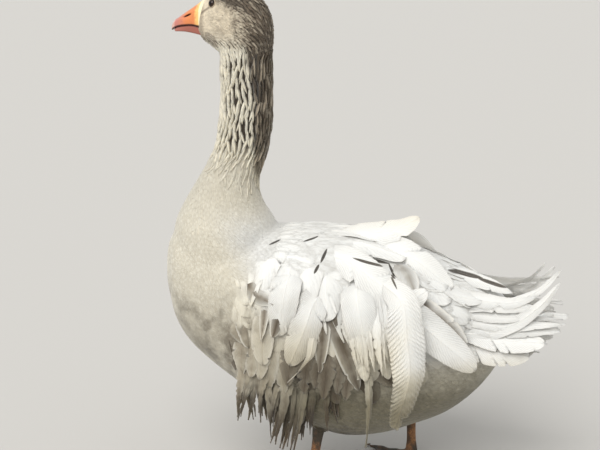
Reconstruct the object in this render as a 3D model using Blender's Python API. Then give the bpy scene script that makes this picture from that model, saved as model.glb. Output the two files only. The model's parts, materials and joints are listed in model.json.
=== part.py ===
"""A domestic goose with loose, curled plumes, standing with its left foot forward.

Metres, +Z up. The goose faces -Y and its left side is +X. The floor is z = 0, and the origin
lies on it under the middle of the goose. Every solid gives the outer form of the coat.
"""

import math

import bmesh
import bpy
from mathutils import Vector

# Driving dimensions
GAP = 0.0003
EYE_HEIGHT = 0.711
HEAD_TURN = math.radians(24.0)
NECK_AXIS_Y = -0.185
EYES_AHEAD_OF_NECK = 0.034
BILL_ROOT = 0.0255
BILL_ROOT_TO_TIP = 0.070
EYE_RADIUS = 0.0066
EYE_AHEAD = 0.0070
EYE_OUT = 0.0222
FOOT_HALF_TRACK = 0.056
LEFT_ANKLE_Y = -0.079
RIGHT_ANKLE_Y = 0.066
LEFT_LEAN = 0.14
RIGHT_LEAN = -0.02
ANKLE_HEIGHT = 0.016
FOOT_TOP = 0.0185
MIDDLE_TOE = 0.082
CLAW_LENGTH = 0.0085
WEB_THICKNESS = 0.0022
PLUME_THICKNESS = 0.0026
PLUME_EDGE = 0.0009
LOCK_WIDTH = 0.036
TAIL_FEATHER_WIDTH = 0.032

# Cuts across the neck, from the breast up to the skull
NECK_CUTS = (0.400, 0.470, 0.552, 0.632)

# Trunk: distance back, height of the back, height of the belly, half width
TRUNK = (
    (-0.305, 0.345, 0.318, 0.012),
    (-0.301, 0.364, 0.276, 0.041),
    (-0.288, 0.385, 0.231, 0.068),
    (-0.266, 0.392, 0.197, 0.088),
    (-0.236, 0.392, 0.171, 0.103),
    (-0.198, 0.387, 0.143, 0.115),
    (-0.150, 0.380, 0.112, 0.124),
    (-0.098, 0.376, 0.083, 0.127),
    (-0.040, 0.371, 0.060, 0.125),
    (0.020, 0.360, 0.063, 0.119),
    (0.072, 0.342, 0.080, 0.109),
    (0.120, 0.326, 0.100, 0.092),
    (0.160, 0.309, 0.131, 0.073),
    (0.188, 0.296, 0.165, 0.054),
    (0.206, 0.281, 0.199, 0.034),
    (0.213, 0.258, 0.228, 0.010),
)
TRUNK_WIDEST = 0.46
TRUNK_ROUNDNESS = 2.3

# Neck: height, middle of the neck front to back, half depth, half width
NECK = (
    (0.330, -0.214, 0.081, 0.090),
    (0.385, -0.2165, 0.0765, 0.079),
    (0.416, -0.219, 0.063, 0.061),
    (0.449, -0.213, 0.052, 0.049),
    (0.476, -0.202, 0.047, 0.043),
    (0.508, -0.191, 0.042, 0.040),
    (0.540, -0.186, 0.0415, 0.039),
    (0.580, -0.184, 0.040, 0.037),
    (0.632, -0.185, 0.0405, 0.0365),
    (0.668, -0.186, 0.036, 0.034),
)

# Head, measured from between the eyes: distance ahead, crown, throat, half width
HEAD = (
    (-0.0745, -0.028, -0.066, 0.010),
    (-0.070, -0.010, -0.080, 0.022),
    (-0.058, 0.009, -0.088, 0.031),
    (-0.040, 0.0195, -0.090, 0.0355),
    (-0.018, 0.025, -0.085, 0.0360),
    (0.002, 0.0255, -0.0755, 0.0325),
    (0.016, 0.0215, -0.0690, 0.0275),
    (0.0255, 0.0165, -0.0640, 0.0232),
    (0.0320, 0.0090, -0.0612, 0.0210),
    (0.0365, -0.0070, -0.0585, 0.0196),
)
HEAD_WIDEST = 0.50

# Upper bill, from its root to the nail: share of the length, culmen, biting edge, half width
UPPER_BILL = (
    (0.00, 0.0125, -0.0400, 0.0168),
    (0.18, 0.0035, -0.0355, 0.0160),
    (0.38, -0.0055, -0.0335, 0.0150),
    (0.58, -0.0138, -0.0345, 0.0142),
    (0.76, -0.0215, -0.0365, 0.0130),
    (0.90, -0.0278, -0.0400, 0.0102),
    (0.98, -0.0338, -0.0428, 0.0060),
)
# Lower bill: share of the length, upper edge, lower edge, half width
LOWER_BILL = (
    (0.00, -0.0407, -0.0505, 0.0148),
    (0.20, -0.0362, -0.0490, 0.0142),
    (0.40, -0.0342, -0.0468, 0.0132),
    (0.60, -0.0352, -0.0452, 0.0122),
    (0.78, -0.0374, -0.0450, 0.0108),
    (0.88, -0.0407, -0.0454, 0.0080),
)

# Long plumes of one side: the way of the shaft, the width, the side that the blade faces,
# the width where it leaves the body as a share of the whole, and how pointed the tip is
SIDE_PLUMES = {
    "hanging": (
        ((0.120, 0.030, 0.325), (0.147, 0.058, 0.306), (0.154, 0.065, 0.258),
         (0.151, 0.070, 0.195), (0.140, 0.050, 0.116)), 0.054, (1, 0.1, 0.1), 0.55, 0.10),
    "flight": (
        ((0.095, 0.030, 0.305), (0.128, 0.062, 0.288), (0.128, 0.100, 0.258),
         (0.118, 0.134, 0.227), (0.103, 0.163, 0.197)), 0.052, (1, 0.2, 0.3), 0.5, 0.0),
    "under_flight": (
        ((0.085, 0.060, 0.298), (0.110, 0.090, 0.285), (0.106, 0.120, 0.262),
         (0.096, 0.150, 0.232)), 0.036, (1, 0.1, 0.4), 0.5, 0.2),
    "long_scapular": (
        ((0.066, -0.074, 0.357), (0.104, -0.020, 0.353), (0.121, 0.030, 0.322),
         (0.120, 0.070, 0.306), (0.112, 0.092, 0.316)), 0.050, (1, 0, 0.6), 0.6, 0.0),
    "saddle": (
        ((0.036, 0.000, 0.358), (0.056, 0.045, 0.362), (0.068, 0.085, 0.341),
         (0.070, 0.126, 0.308)), 0.050, (1, 0, 0.9), 0.6, 0.1),
    "raised": (
        ((0.024, -0.070, 0.360), (0.030, -0.010, 0.376), (0.031, 0.040, 0.385),
         (0.030, 0.076, 0.405)), 0.050, (0.9, -0.1, 1), 0.6, 0.15),
    "rump": (
        ((0.030, 0.090, 0.328), (0.034, 0.135, 0.324), (0.034, 0.175, 0.311),
         (0.032, 0.214, 0.296)), 0.030, (0.6, 0, 1), 0.6, 0.3),
    "upper_primary": (
        ((0.062, 0.050, 0.300), (0.070, 0.110, 0.293), (0.056, 0.170, 0.282),
         (0.046, 0.236, 0.284)), 0.034, (0.8, 0, 0.8), 0.7, 0.3),
    "lower_primary": (
        ((0.076, 0.040, 0.276), (0.086, 0.100, 0.268), (0.070, 0.160, 0.254),
         (0.056, 0.222, 0.250)), 0.040, (1, 0, 0.5), 0.7, 0.3),
    "tertial": (
        ((0.070, 0.060, 0.318), (0.078, 0.105, 0.308), (0.074, 0.140, 0.298),
         (0.068, 0.172, 0.292)), 0.030, (0.8, 0, 0.8), 0.6, 0.1),
    "upper_sweep": (
        ((0.066, 0.080, 0.285), (0.068, 0.150, 0.276), (0.064, 0.215, 0.289),
         (0.058, 0.262, 0.312), (0.052, 0.288, 0.340)), 0.028, (0.8, 0.1, 0.9), 0.6, 0.2),
    "lower_sweep": (
        ((0.074, 0.085, 0.262), (0.078, 0.150, 0.246), (0.074, 0.210, 0.256),
         (0.068, 0.255, 0.284), (0.064, 0.281, 0.320)), 0.034, (1, 0.1, 0.5), 0.6, 0.2),
    "broad_covert": (
        ((0.100, -0.050, 0.318), (0.138, -0.068, 0.298), (0.148, -0.080, 0.262),
         (0.146, -0.101, 0.208)), 0.047, (1, 0, 0.1), 0.6, 0.0),
    "curved_blade": (
        ((0.115, -0.060, 0.262), (0.148, -0.066, 0.248), (0.156, -0.072, 0.222),
         (0.147, -0.104, 0.182)), 0.014, (1, 0.3, 0.1), 0.8, 0.8),
    "breast_covert": (
        ((0.100, -0.128, 0.288), (0.131, -0.138, 0.272), (0.139, -0.142, 0.242),
         (0.134, -0.142, 0.203)), 0.037, (1, -0.2, 0.1), 0.6, 0.0),
    "flank_covert": (
        ((0.105, -0.048, 0.268), (0.136, -0.036, 0.248), (0.140, -0.016, 0.218),
         (0.133, 0.000, 0.187)), 0.036, (1, 0, 0.1), 0.6, 0.0),
    "shoulder_covert": (
        ((0.095, -0.100, 0.344), (0.128, -0.108, 0.325), (0.141, -0.112, 0.296),
         (0.143, -0.118, 0.250)), 0.046, (1, -0.1, 0.2), 0.6, 0.0),
    "middle_covert": (
        ((0.100, -0.010, 0.330), (0.136, -0.006, 0.306), (0.146, 0.002, 0.268),
         (0.140, 0.014, 0.220)), 0.050, (1, 0.1, 0.2), 0.6, 0.1),
    "thread": (
        ((0.105, 0.008, 0.225), (0.126, 0.010, 0.200), (0.128, 0.013, 0.140),
         (0.122, 0.006, 0.080)), 0.014, (1, 0.3, 0), 0.8, 0.6),
}

# Folded wing over the back and the flank: distance back, depth of the coat over the spine,
# depth of the coat at the side, height of the lower edge of the wing
WING = (
    (-0.166, 0.0010, 0.0020, 0.300),
    (-0.150, 0.0030, 0.0110, 0.262),
    (-0.110, 0.0060, 0.0180, 0.236),
    (-0.060, 0.0100, 0.0210, 0.228),
    (-0.010, 0.0110, 0.0220, 0.230),
    (0.040, 0.0090, 0.0220, 0.240),
    (0.085, 0.0065, 0.0200, 0.250),
    (0.125, 0.0055, 0.0160, 0.256),
    (0.160, 0.0060, 0.0110, 0.262),
    (0.184, 0.0040, 0.0060, 0.268),
)
WING_PARTING = 0.0004
RIGHT_SHORTER = 0.008
RIGHT_LOWER = 0.014

# Facets that differ by less than this many degrees are one facet
FLAT_ENOUGH = 0.5

# Root of the tail: distance back, height, half width, half height
RUMP = (
    (0.150, 0.240, 0.040, 0.034),
    (0.185, 0.240, 0.042, 0.030),
    (0.212, 0.243, 0.036, 0.020),
    (0.226, 0.246, 0.020, 0.008),
)
TAIL_FEATHERS = 6
TAIL_LENGTH = 0.130
TUFTS = 7


def clear_scene():
    for thing in list(bpy.data.objects):
        bpy.data.objects.remove(thing, do_unlink=True)


def collection(name):
    made = bpy.data.collections.new(name)
    bpy.context.scene.collection.children.link(made)
    return made


def nested(name, parent):
    """A collection of helpers inside another one."""
    made = bpy.data.collections.new(name)
    parent.children.link(made)
    return made


def material(name, colour, roughness, metallic=0.0):
    made = bpy.data.materials.new(name)
    made.use_nodes = True
    shader = made.node_tree.nodes["Principled BSDF"]
    shader.inputs["Base Color"].default_value = (*colour, 1.0)
    shader.inputs["Roughness"].default_value = roughness
    shader.inputs["Metallic"].default_value = metallic
    return made


def smooth_row(rows, at):
    """The row of a table at a place along it, on a smooth curve through the rows."""
    last = len(rows) - 1
    step = max(i for i in range(last) if i == 0 or rows[i][0] <= at)
    before, low, high = rows[max(step - 1, 0)], rows[step], rows[step + 1]
    after = rows[min(step + 2, last)]
    span = high[0] - low[0]
    t = (at - low[0]) / span
    out = []
    for column in range(1, len(low)):
        in_slope = span * (high[column] - before[column]) / (high[0] - before[0])
        out_slope = span * (after[column] - low[column]) / (after[0] - low[0])
        out.append((2 * t**3 - 3 * t**2 + 1) * low[column] + (t**3 - 2 * t**2 + t) * in_slope
                   + (3 * t**2 - 2 * t**3) * high[column] + (t**3 - t**2) * out_slope)
    return out


def along(path, t):
    """The point and the direction at share t of a smooth path through a few points."""
    rows = [(i, *point) for i, point in enumerate(path)]
    at = t * (len(path) - 1)
    step = 0.01
    low, high = max(at - step, 0), min(at + step, len(path) - 1)
    heading = Vector(smooth_row(rows, high)) - Vector(smooth_row(rows, low))
    return Vector(smooth_row(rows, at)), heading.normalized()


def power(value, exponent):
    return math.copysign(abs(value) ** exponent, value)


def oval(centre, side, up, half_width, above, below, sides, roundness=2.0):
    """A closed ring of points, with its own height above and below its widest line."""
    ring = []
    for i in range(sides):
        angle = 2 * math.pi * i / sides
        across = power(math.cos(angle), 2 / roundness) * half_width
        height = power(math.sin(angle), 2 / roundness)
        height *= above if height > 0 else below
        ring.append(centre + side * across + up * height)
    return ring


def loft(name, rings, where):
    """A closed solid through rings that have the same number of points."""
    mesh = bmesh.new()
    rows = [[mesh.verts.new(point) for point in ring] for ring in rings]
    sides = len(rows[0])
    for low, high in zip(rows, rows[1:]):
        for i in range(sides):
            j = (i + 1) % sides
            mesh.faces.new((low[i], low[j], high[j], high[i]))
    mesh.faces.new(rows[0][::-1])
    mesh.faces.new(rows[-1])
    bmesh.ops.triangulate(mesh, faces=mesh.faces[:])
    bmesh.ops.recalc_face_normals(mesh, faces=mesh.faces[:])
    data = bpy.data.meshes.new(name)
    mesh.to_mesh(data)
    mesh.free()
    made = bpy.data.objects.new(name, data)
    where.objects.link(made)
    return made


def as_cutter(thing):
    thing.hide_render = True
    thing.display_type = "WIRE"
    return thing


def boolean(thing, operation, other):
    """Adds a Boolean with another object, or with all objects of a collection."""
    step = thing.modifiers.new(operation.title(), "BOOLEAN")
    step.operation = operation
    step.solver = "EXACT"
    if isinstance(other, bpy.types.Collection):
        step.operand_type = "COLLECTION"
        step.collection = other
    else:
        step.object = other


def islands(mesh):
    """The connected groups of faces of a mesh."""
    left = set(mesh.faces)
    groups = []
    while left:
        group, edge = set(), {left.pop()}
        while edge:
            group |= edge
            edge = {near for face in edge for line in face.edges for near in line.link_faces} - group
        left -= group
        groups.append(group)
    return groups


def volume(group):
    """The volume inside a closed group of faces."""
    total = 0.0
    for face in group:
        a, b, c = (vert.co for vert in face.verts)
        total += a.dot(b.cross(c)) / 6
    return total


def finish(thing, where, finish_material):
    """Applies the Booleans, drops offcuts and gives the piece its material."""
    bpy.context.view_layer.update()
    done = thing.evaluated_get(bpy.context.evaluated_depsgraph_get())
    data = bpy.data.meshes.new_from_object(done)
    data.transform(thing.matrix_world)
    mesh = bmesh.new()
    mesh.from_mesh(data)
    bmesh.ops.remove_doubles(mesh, verts=mesh.verts[:], dist=0.00002)
    bmesh.ops.dissolve_degenerate(mesh, edges=mesh.edges[:], dist=0.00002)
    bmesh.ops.dissolve_limit(mesh, angle_limit=math.radians(FLAT_ENOUGH), verts=mesh.verts[:],
                             edges=mesh.edges[:])
    bmesh.ops.triangulate(mesh, faces=mesh.faces[:])
    groups = sorted(islands(mesh), key=volume)
    for group in groups[:-1]:
        bmesh.ops.delete(mesh, geom=list(group), context="FACES")
    mesh.to_mesh(data)
    mesh.free()
    name = thing.name
    bpy.data.objects.remove(thing, do_unlink=True)
    made = bpy.data.objects.new(name, data)
    made.name = name
    where.objects.link(made)
    data.materials.clear()
    data.materials.append(finish_material)
    data.shade_smooth()
    data.set_sharp_from_angle(angle=math.radians(40))
    return made


def trunk_loft(name, where, grow=0.0):
    rings = []
    for row in TRUNK:
        y, top, bottom, half = row
        middle = bottom + TRUNK_WIDEST * (top - bottom)
        rings.append(oval(Vector((0, y, middle)), Vector((1, 0, 0)), Vector((0, 0, 1)), half + grow,
                          top - middle + grow, middle - bottom + grow, 20, TRUNK_ROUNDNESS))
    for point in rings[0]:
        point.y -= grow
    for point in rings[-1]:
        point.y += grow
    return loft(name, rings, where)


def neck_loft(name, where, low, high, grow=0.0):
    heights = [row[0] for row in NECK if low + 0.004 < row[0] < high - 0.004]
    rings = []
    for z in (low, *heights, high):
        y, deep, half = smooth_row(NECK, z)
        rings.append(oval(Vector((0, y, z)), Vector((1, 0, 0)), Vector((0, 1, 0)), half + grow,
                          deep + grow, deep + grow, 16, 2.1))
    return loft(name, rings, where)


def head_frame():
    """The directions ahead and to the left of the turned head, and the point between its eyes."""
    ahead = Vector((-math.sin(HEAD_TURN), -math.cos(HEAD_TURN), 0))
    left = Vector((math.cos(HEAD_TURN), -math.sin(HEAD_TURN), 0))
    middle = Vector((0, NECK_AXIS_Y, EYE_HEIGHT)) + ahead * EYES_AHEAD_OF_NECK
    return ahead, left, middle


def head_loft(name, where, grow=0.0):
    ahead, left, middle = head_frame()
    rings = []
    for distance, crown, throat, half in HEAD:
        widest = throat + HEAD_WIDEST * (crown - throat)
        rings.append(oval(middle + ahead * distance + Vector((0, 0, widest)), left, Vector((0, 0, 1)),
                          half + grow, crown - widest + grow, widest - throat + grow, 16, 2.15))
    return loft(name, rings, where)


def bill_ring(share, top, bottom, half, arch, keel, grow):
    """A section of the bill: arched above or below, and flat along the biting edge."""
    ahead, left, middle = head_frame()
    centre = middle + ahead * (BILL_ROOT + share * BILL_ROOT_TO_TIP)
    half_height = (top - bottom) / 2
    across = (-1, -0.93, -0.62, 0, 0.62, 0.93, 1)
    ring = []
    for sign, rise in ((1, arch), (-1, keel)):
        for share_across in across:
            lift = half_height * (1 - rise * abs(share_across) ** 2.4)
            side = half + grow
            place = centre + left * (share_across * side * sign)
            place += Vector((0, 0, (top + bottom) / 2 + sign * (lift + grow)))
            ring.append(place)
    return ring


def bill_solid(name, where, rows, arch, keel, grow=0.0):
    rings = [bill_ring(*row, arch, keel, grow) for row in rows]
    return loft(name, rings, where)


def eye_place(side):
    ahead, left, middle = head_frame()
    return middle + ahead * EYE_AHEAD + left * side * EYE_OUT


def ball(name, where, centre, radius):
    mesh = bmesh.new()
    bmesh.ops.create_uvsphere(mesh, u_segments=12, v_segments=8, radius=radius)
    bmesh.ops.translate(mesh, verts=mesh.verts[:], vec=centre)
    bmesh.ops.triangulate(mesh, faces=mesh.faces[:])
    data = bpy.data.meshes.new(name)
    mesh.to_mesh(data)
    mesh.free()
    made = bpy.data.objects.new(name, data)
    where.objects.link(made)
    return made


def box(name, where, low, high):
    mesh = bmesh.new()
    bmesh.ops.create_cube(mesh, size=1.0)
    low, high = Vector(low), Vector(high)
    bmesh.ops.scale(mesh, vec=high - low, verts=mesh.verts[:])
    bmesh.ops.translate(mesh, vec=(low + high) / 2, verts=mesh.verts[:])
    data = bpy.data.meshes.new(name)
    mesh.to_mesh(data)
    mesh.free()
    made = bpy.data.objects.new(name, data)
    where.objects.link(made)
    return made


def vane_width(t, root_share, point):
    """The width of a plume at share t of its length, as a share of its greatest width."""
    shoulder = 0.42
    if t < shoulder:
        rise = math.sin(math.pi / 2 * t / shoulder)
        return root_share + (1 - root_share) * rise
    fall = (t - shoulder) / (1 - shoulder)
    round_tip = math.sqrt(max(1 - fall**2.6, 0.0))
    sharp_tip = 1 - fall
    return max(round_tip * (1 - point) + sharp_tip * point, 0.0)


def plume(name, where, path, width, face, root_share, point, grow=0.0):
    """A feather blade: a shallow roof in section, on a shaft that follows the path."""
    face = Vector(face).normalized()
    stations = len(path) + 2
    rings = []
    for i in range(stations):
        t = i / (stations - 1)
        centre, heading = along(path, t)
        across = heading.cross(face).normalized()
        out = across.cross(heading).normalized()
        half = max(width / 2 * vane_width(t, root_share, point), 0.0018) + grow
        thick = PLUME_THICKNESS / 2 + grow
        edge = PLUME_EDGE / 2 + grow
        drop = half * 0.16
        ring = [centre - across * half + out * (-drop - edge), centre - across * half + out * (edge - drop),
                centre + out * thick,
                centre + across * half + out * (edge - drop), centre + across * half + out * (-drop - edge)]
        rings.append(ring)
    return loft(name, rings, where)


def mirrored(path, side):
    return [(point[0] * side, point[1], point[2]) for point in path]


def side_path(name, path, side):
    """The shaft of a side plume. The right side's plumes lie a little differently."""
    if side > 0:
        return path
    order = list(SIDE_PLUMES).index(name)
    swing = 0.010 * math.sin(2.3 * order + 0.6)
    drop = 0.008 * math.cos(1.7 * order)
    last = len(path) - 1
    moved = []
    for i, (x, y, z) in enumerate(path):
        share = i / last
        moved.append((-x, y + swing * share**1.5 - RIGHT_SHORTER * share, z + (drop - RIGHT_LOWER) * share))
    return moved


def wing_shell(name, where, side):
    """The folded wing as a slice that reaches into the trunk, which is cut out of it afterwards."""
    rings = []
    for y, over_spine, at_side, lower_edge in WING:
        top, bottom, half = smooth_row(TRUNK, y)
        middle = bottom + TRUNK_WIDEST * (top - bottom)
        ring = [Vector((0.035 * side, y, lower_edge)), Vector((WING_PARTING * side, y, lower_edge + 0.02))]
        lowest = math.asin(max(min((lower_edge - middle) / (top - middle), 1), -1))
        for i in range(10):
            share = i / 9
            angle = math.pi / 2 + (lowest - math.pi / 2) * share
            depth = over_spine + (at_side - over_spine) * math.sin(math.pi / 2 * min(share * 1.6, 1.0))
            across = max(power(math.cos(angle), 2 / TRUNK_ROUNDNESS) * (half + depth), WING_PARTING)
            rise = power(math.sin(angle), 2 / TRUNK_ROUNDNESS) * (top - middle + depth)
            ring.append(Vector((across * side, y, middle + rise)))
        rings.append(ring)
    return loft(name, rings, where)


def tuft_path(order, side):
    """A lock of long feathers that hangs from the flank, ahead of the leg."""
    share = order / (TUFTS - 1)
    y = -0.166 + 0.150 * share
    tip_z = 0.126 - 0.054 * share**0.8 + 0.007 * math.sin(2.6 * order)
    root = (0.080, y + 0.014, 0.235)
    bend = (0.124 + 0.006 * math.sin(2.2 * order), y + 0.004, 0.200 - 0.016 * share)
    tip = (0.108 + 0.008 * math.cos(1.9 * order), y - 0.008 + 0.010 * math.sin(1.3 * order), tip_z)
    middle = (0.124, y, 0.58 * bend[2] + 0.42 * tip_z)
    return mirrored([root, bend, middle, tip], side)


def tail_path(order, side):
    """A tail feather of a fan that slopes down to its outer feathers like a roof."""
    share = order / (TAIL_FEATHERS - 1)
    spread = math.radians(1 + 15 * share)
    length = TAIL_LENGTH * (1.0 - 0.34 * share**1.5)
    root = Vector((0.006 + 0.034 * share, 0.168 - 0.004 * share, 0.272 - 0.064 * share))
    ahead = Vector((math.sin(spread), math.cos(spread), -0.13 + 0.23 * share))
    middle = root + ahead * length * 0.5 + Vector((0, 0, -0.005))
    tip = root + ahead * length
    return mirrored([tuple(root), tuple(middle), tuple(tip)], side)


def toe(name, where, start, end, root_half, tip_half, lift):
    """A toe with a flat sole on the floor."""
    start, end = Vector(start), Vector(end)
    heading = (end - start).normalized()
    across = Vector((-heading.y, heading.x, 0))
    rings = []
    for share, swell in ((0.0, 1.0), (0.32, 0.95), (0.62, 0.88), (0.9, 0.74), (1.0, 0.5)):
        half = (root_half + (tip_half - root_half) * share) * swell
        height = half * 1.65 + lift * max(0.0, 1 - share * 2.6)
        centre = start.lerp(end, share)
        ring = [centre - across * half * 0.8, centre - across * half + Vector((0, 0, height * 0.45)),
                centre - across * half * 0.5 + Vector((0, 0, height * 0.92)),
                centre + across * half * 0.5 + Vector((0, 0, height * 0.92)),
                centre + across * half + Vector((0, 0, height * 0.45)), centre + across * half * 0.8]
        rings.append(ring)
    return loft(name, rings, where)


def toe_ends(ankle, side):
    """Where each toe starts and ends on the floor, with its half thickness."""
    turn = math.radians(6.0) * side
    rows = {}
    for name, angle, length, half in (("inner", -27.0, 0.80, 0.0050), ("middle", 0.0, 1.0, 0.0056),
                                      ("outer", 25.0, 0.93, 0.0050), ("hind", 168.0, 0.27, 0.0034)):
        bearing = math.radians(angle) * side + turn
        heading = Vector((math.sin(bearing), -math.cos(bearing), 0))
        start = Vector((ankle.x, ankle.y, 0)) + heading * 0.004
        rows[name] = (start, start + heading * MIDDLE_TOE * length, half)
    return rows


def web(name, where, ankle, side):
    """The skin between the three front toes, with an edge that curves in between their tips."""
    rows = toe_ends(ankle, side)
    start = rows["middle"][0]
    outline = [Vector((start.x, start.y + 0.004, 0))]
    tips = [rows[key][0].lerp(rows[key][1], 0.93) for key in ("inner", "middle", "outer")]
    for first, second in zip(tips, tips[1:]):
        outline.append(first)
        for share in (0.25, 0.5, 0.75):
            point = first.lerp(second, share)
            sag = 0.17 * math.sin(math.pi * share)
            outline.append(point.lerp(start, sag))
    outline.append(tips[-1])
    low = [point + Vector((0, 0, 0.0008)) for point in outline]
    high = [point + Vector((0, 0, 0.0008 + WEB_THICKNESS)) for point in outline]
    return loft(name, [low, high], where)


def claw(name, where, start, end, half):
    """A short blunt nail that carries the toe on, just clear of the floor."""
    heading = (end - start).normalized()
    across = Vector((-heading.y, heading.x, 0))
    root = end + heading * GAP
    rings = []
    for share, width, low, high in ((0.0, 0.62, 0.0012, 0.0052), (0.5, 0.44, 0.0009, 0.0046),
                                    (1.0, 0.14, 0.0006, 0.0016)):
        centre = root + heading * CLAW_LENGTH * share
        reach = half * width
        rings.append([centre - across * reach + Vector((0, 0, low)),
                      centre - across * reach * 0.7 + Vector((0, 0, high)),
                      centre + across * reach * 0.7 + Vector((0, 0, high)),
                      centre + across * reach + Vector((0, 0, low))])
    return loft(name, rings, where)


def shank(name, where, ankle, lean):
    """The bare scaly leg from the toes up into the belly feathers."""
    rings = []
    for z, half, deep in ((0.002, 0.0058, 0.0068), (0.008, 0.0082, 0.0095), (0.016, 0.0080, 0.0092),
                          (0.030, 0.0060, 0.0074), (0.052, 0.0058, 0.0072), (0.072, 0.0068, 0.0082),
                          (0.092, 0.0090, 0.0110), (0.125, 0.0130, 0.0170)):
        y = ankle.y + lean * (z - 0.008)
        centre = Vector((ankle.x, y, z))
        rings.append(oval(centre, Vector((1, 0, 0)), Vector((0, 1, 0)), half, deep, deep, 12))
    return loft(name, rings, where)


def leg_pieces(side_name, side, ankle_y, lean, parts, cutters, core, skin, horn):
    ankle = Vector((FOOT_HALF_TRACK * side, ankle_y, ANKLE_HEIGHT))
    tarsus = shank("leg_" + side_name, parts, ankle, lean)
    above = as_cutter(box("above_" + side_name, cutters, (ankle.x - 0.1, ankle.y - 0.1, FOOT_TOP + GAP / 2),
                          (ankle.x + 0.1, ankle.y + 0.1, 0.2)))
    below = as_cutter(box("below_" + side_name, cutters, (ankle.x - 0.1, ankle.y - 0.1, -0.01),
                          (ankle.x + 0.1, ankle.y + 0.1, FOOT_TOP - GAP / 2)))
    boolean(tarsus, "INTERSECT", above)
    boolean(tarsus, "DIFFERENCE", core)
    finish(tarsus, parts, skin)
    joined = nested("foot_parts_" + side_name, cutters)
    rows = toe_ends(ankle, side)
    for key, (start, end, half) in rows.items():
        as_cutter(toe(f"toe_{key}_{side_name}", joined, start, end, half, half * 0.72, 0.006))
        finish(claw(f"claw_{key}_{side_name}", parts, start, end, half), parts, horn)
    as_cutter(web("web_" + side_name, joined, ankle, side))
    foot = shank("foot_" + side_name, parts, ankle, lean)
    boolean(foot, "INTERSECT", below)
    boolean(foot, "UNION", joined)
    finish(foot, parts, skin)


def core_of_body(name, where, helpers, grow):
    """The trunk, the neck and the flank locks as one solid, grown all round."""
    body = trunk_loft(name, where, grow)
    joined = nested(name + "_joined", helpers)
    as_cutter(neck_loft(name + "_neck", joined, 0.330, 0.668, grow))
    for side in (1, -1):
        for order in range(TUFTS):
            as_cutter(plume(f"{name}_tuft_{order}_{side}", joined, tuft_path(order, side), LOCK_WIDTH,
                            (side, 0.2, 0.15), 0.8, 0.6, grow))
    boolean(body, "UNION", joined)
    return body


def body_pieces(parts, cutters, cream, grey):
    """The trunk and the neck, modelled whole and parted with thin level cuts."""
    levels = (-0.05, *NECK_CUTS)
    names = ("trunk", "neck_lower", "neck_middle", "neck_upper")
    for name, low, high in zip(names, levels, levels[1:]):
        piece = core_of_body(name, parts, cutters, 0.0)
        slab = as_cutter(box(name + "_slab", cutters, (-0.3, -0.5, low + GAP / 2),
                             (0.3, 0.5, high - GAP / 2)))
        boolean(piece, "INTERSECT", slab)
        finish(piece, parts, cream if name == "trunk" else grey)


def head_pieces(parts, cutters, grey, orange, dark):
    head = head_loft("head", parts)
    stump = as_cutter(neck_loft("head_stump", cutters, 0.600, 0.668))
    slab = as_cutter(box("head_slab", cutters, (-0.3, -0.5, NECK_CUTS[-1] + GAP / 2),
                         (0.3, 0.5, 0.9)))
    boolean(head, "UNION", stump)
    boolean(head, "INTERSECT", slab)
    for side, side_name in ((1, "left"), (-1, "right")):
        socket = as_cutter(ball("socket_" + side_name, cutters, eye_place(side), EYE_RADIUS + GAP))
        boolean(head, "DIFFERENCE", socket)
        finish(ball("eye_" + side_name, parts, eye_place(side), EYE_RADIUS), parts, dark)
    upper = bill_solid("bill_upper", parts, UPPER_BILL, 0.80, 0.0)
    lower = bill_solid("bill_lower", parts, LOWER_BILL, 0.0, 0.35)
    boolean(head, "DIFFERENCE", as_cutter(bill_solid("upper_room", cutters, UPPER_BILL, 0.80, 0.0, GAP)))
    boolean(head, "DIFFERENCE", as_cutter(bill_solid("lower_room", cutters, LOWER_BILL, 0.0, 0.35, GAP)))
    finish(head, parts, grey)
    finish(upper, parts, orange)
    finish(lower, parts, orange)


def wing_pieces(parts, cutters, core, tail_room, white):
    for side, side_name in ((1, "left"), (-1, "right")):
        wing = wing_shell("wing_" + side_name, parts, side)
        joined = nested("plumes_" + side_name, cutters)
        for name, (path, width, face, root_share, point) in SIDE_PLUMES.items():
            facing = (face[0] * side, face[1], face[2])
            as_cutter(plume(f"{name}_{side_name}", joined, side_path(name, path, side), width, facing,
                            root_share, point))
        boolean(wing, "UNION", joined)
        boolean(wing, "DIFFERENCE", core)
        boolean(wing, "DIFFERENCE", tail_room)
        finish(wing, parts, white)


def tail_solid(name, where, helpers, grow):
    rump = [oval(Vector((0, y, z)), Vector((1, 0, 0)), Vector((0, 0, 1)), half + grow, high + grow,
                 high + grow, 12) for y, z, half, high in RUMP]
    tail = loft(name, rump, where)
    joined = nested(name + "_joined", helpers)
    for side in (1, -1):
        for order in range(TAIL_FEATHERS):
            share = order / (TAIL_FEATHERS - 1)
            as_cutter(plume(f"{name}_feather_{order}_{side}", joined, tail_path(order, side),
                            TAIL_FEATHER_WIDTH, (side * (0.15 + 0.75 * share), 0, 1), 0.75, 0.25, grow))
    boolean(tail, "UNION", joined)
    return tail


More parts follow.
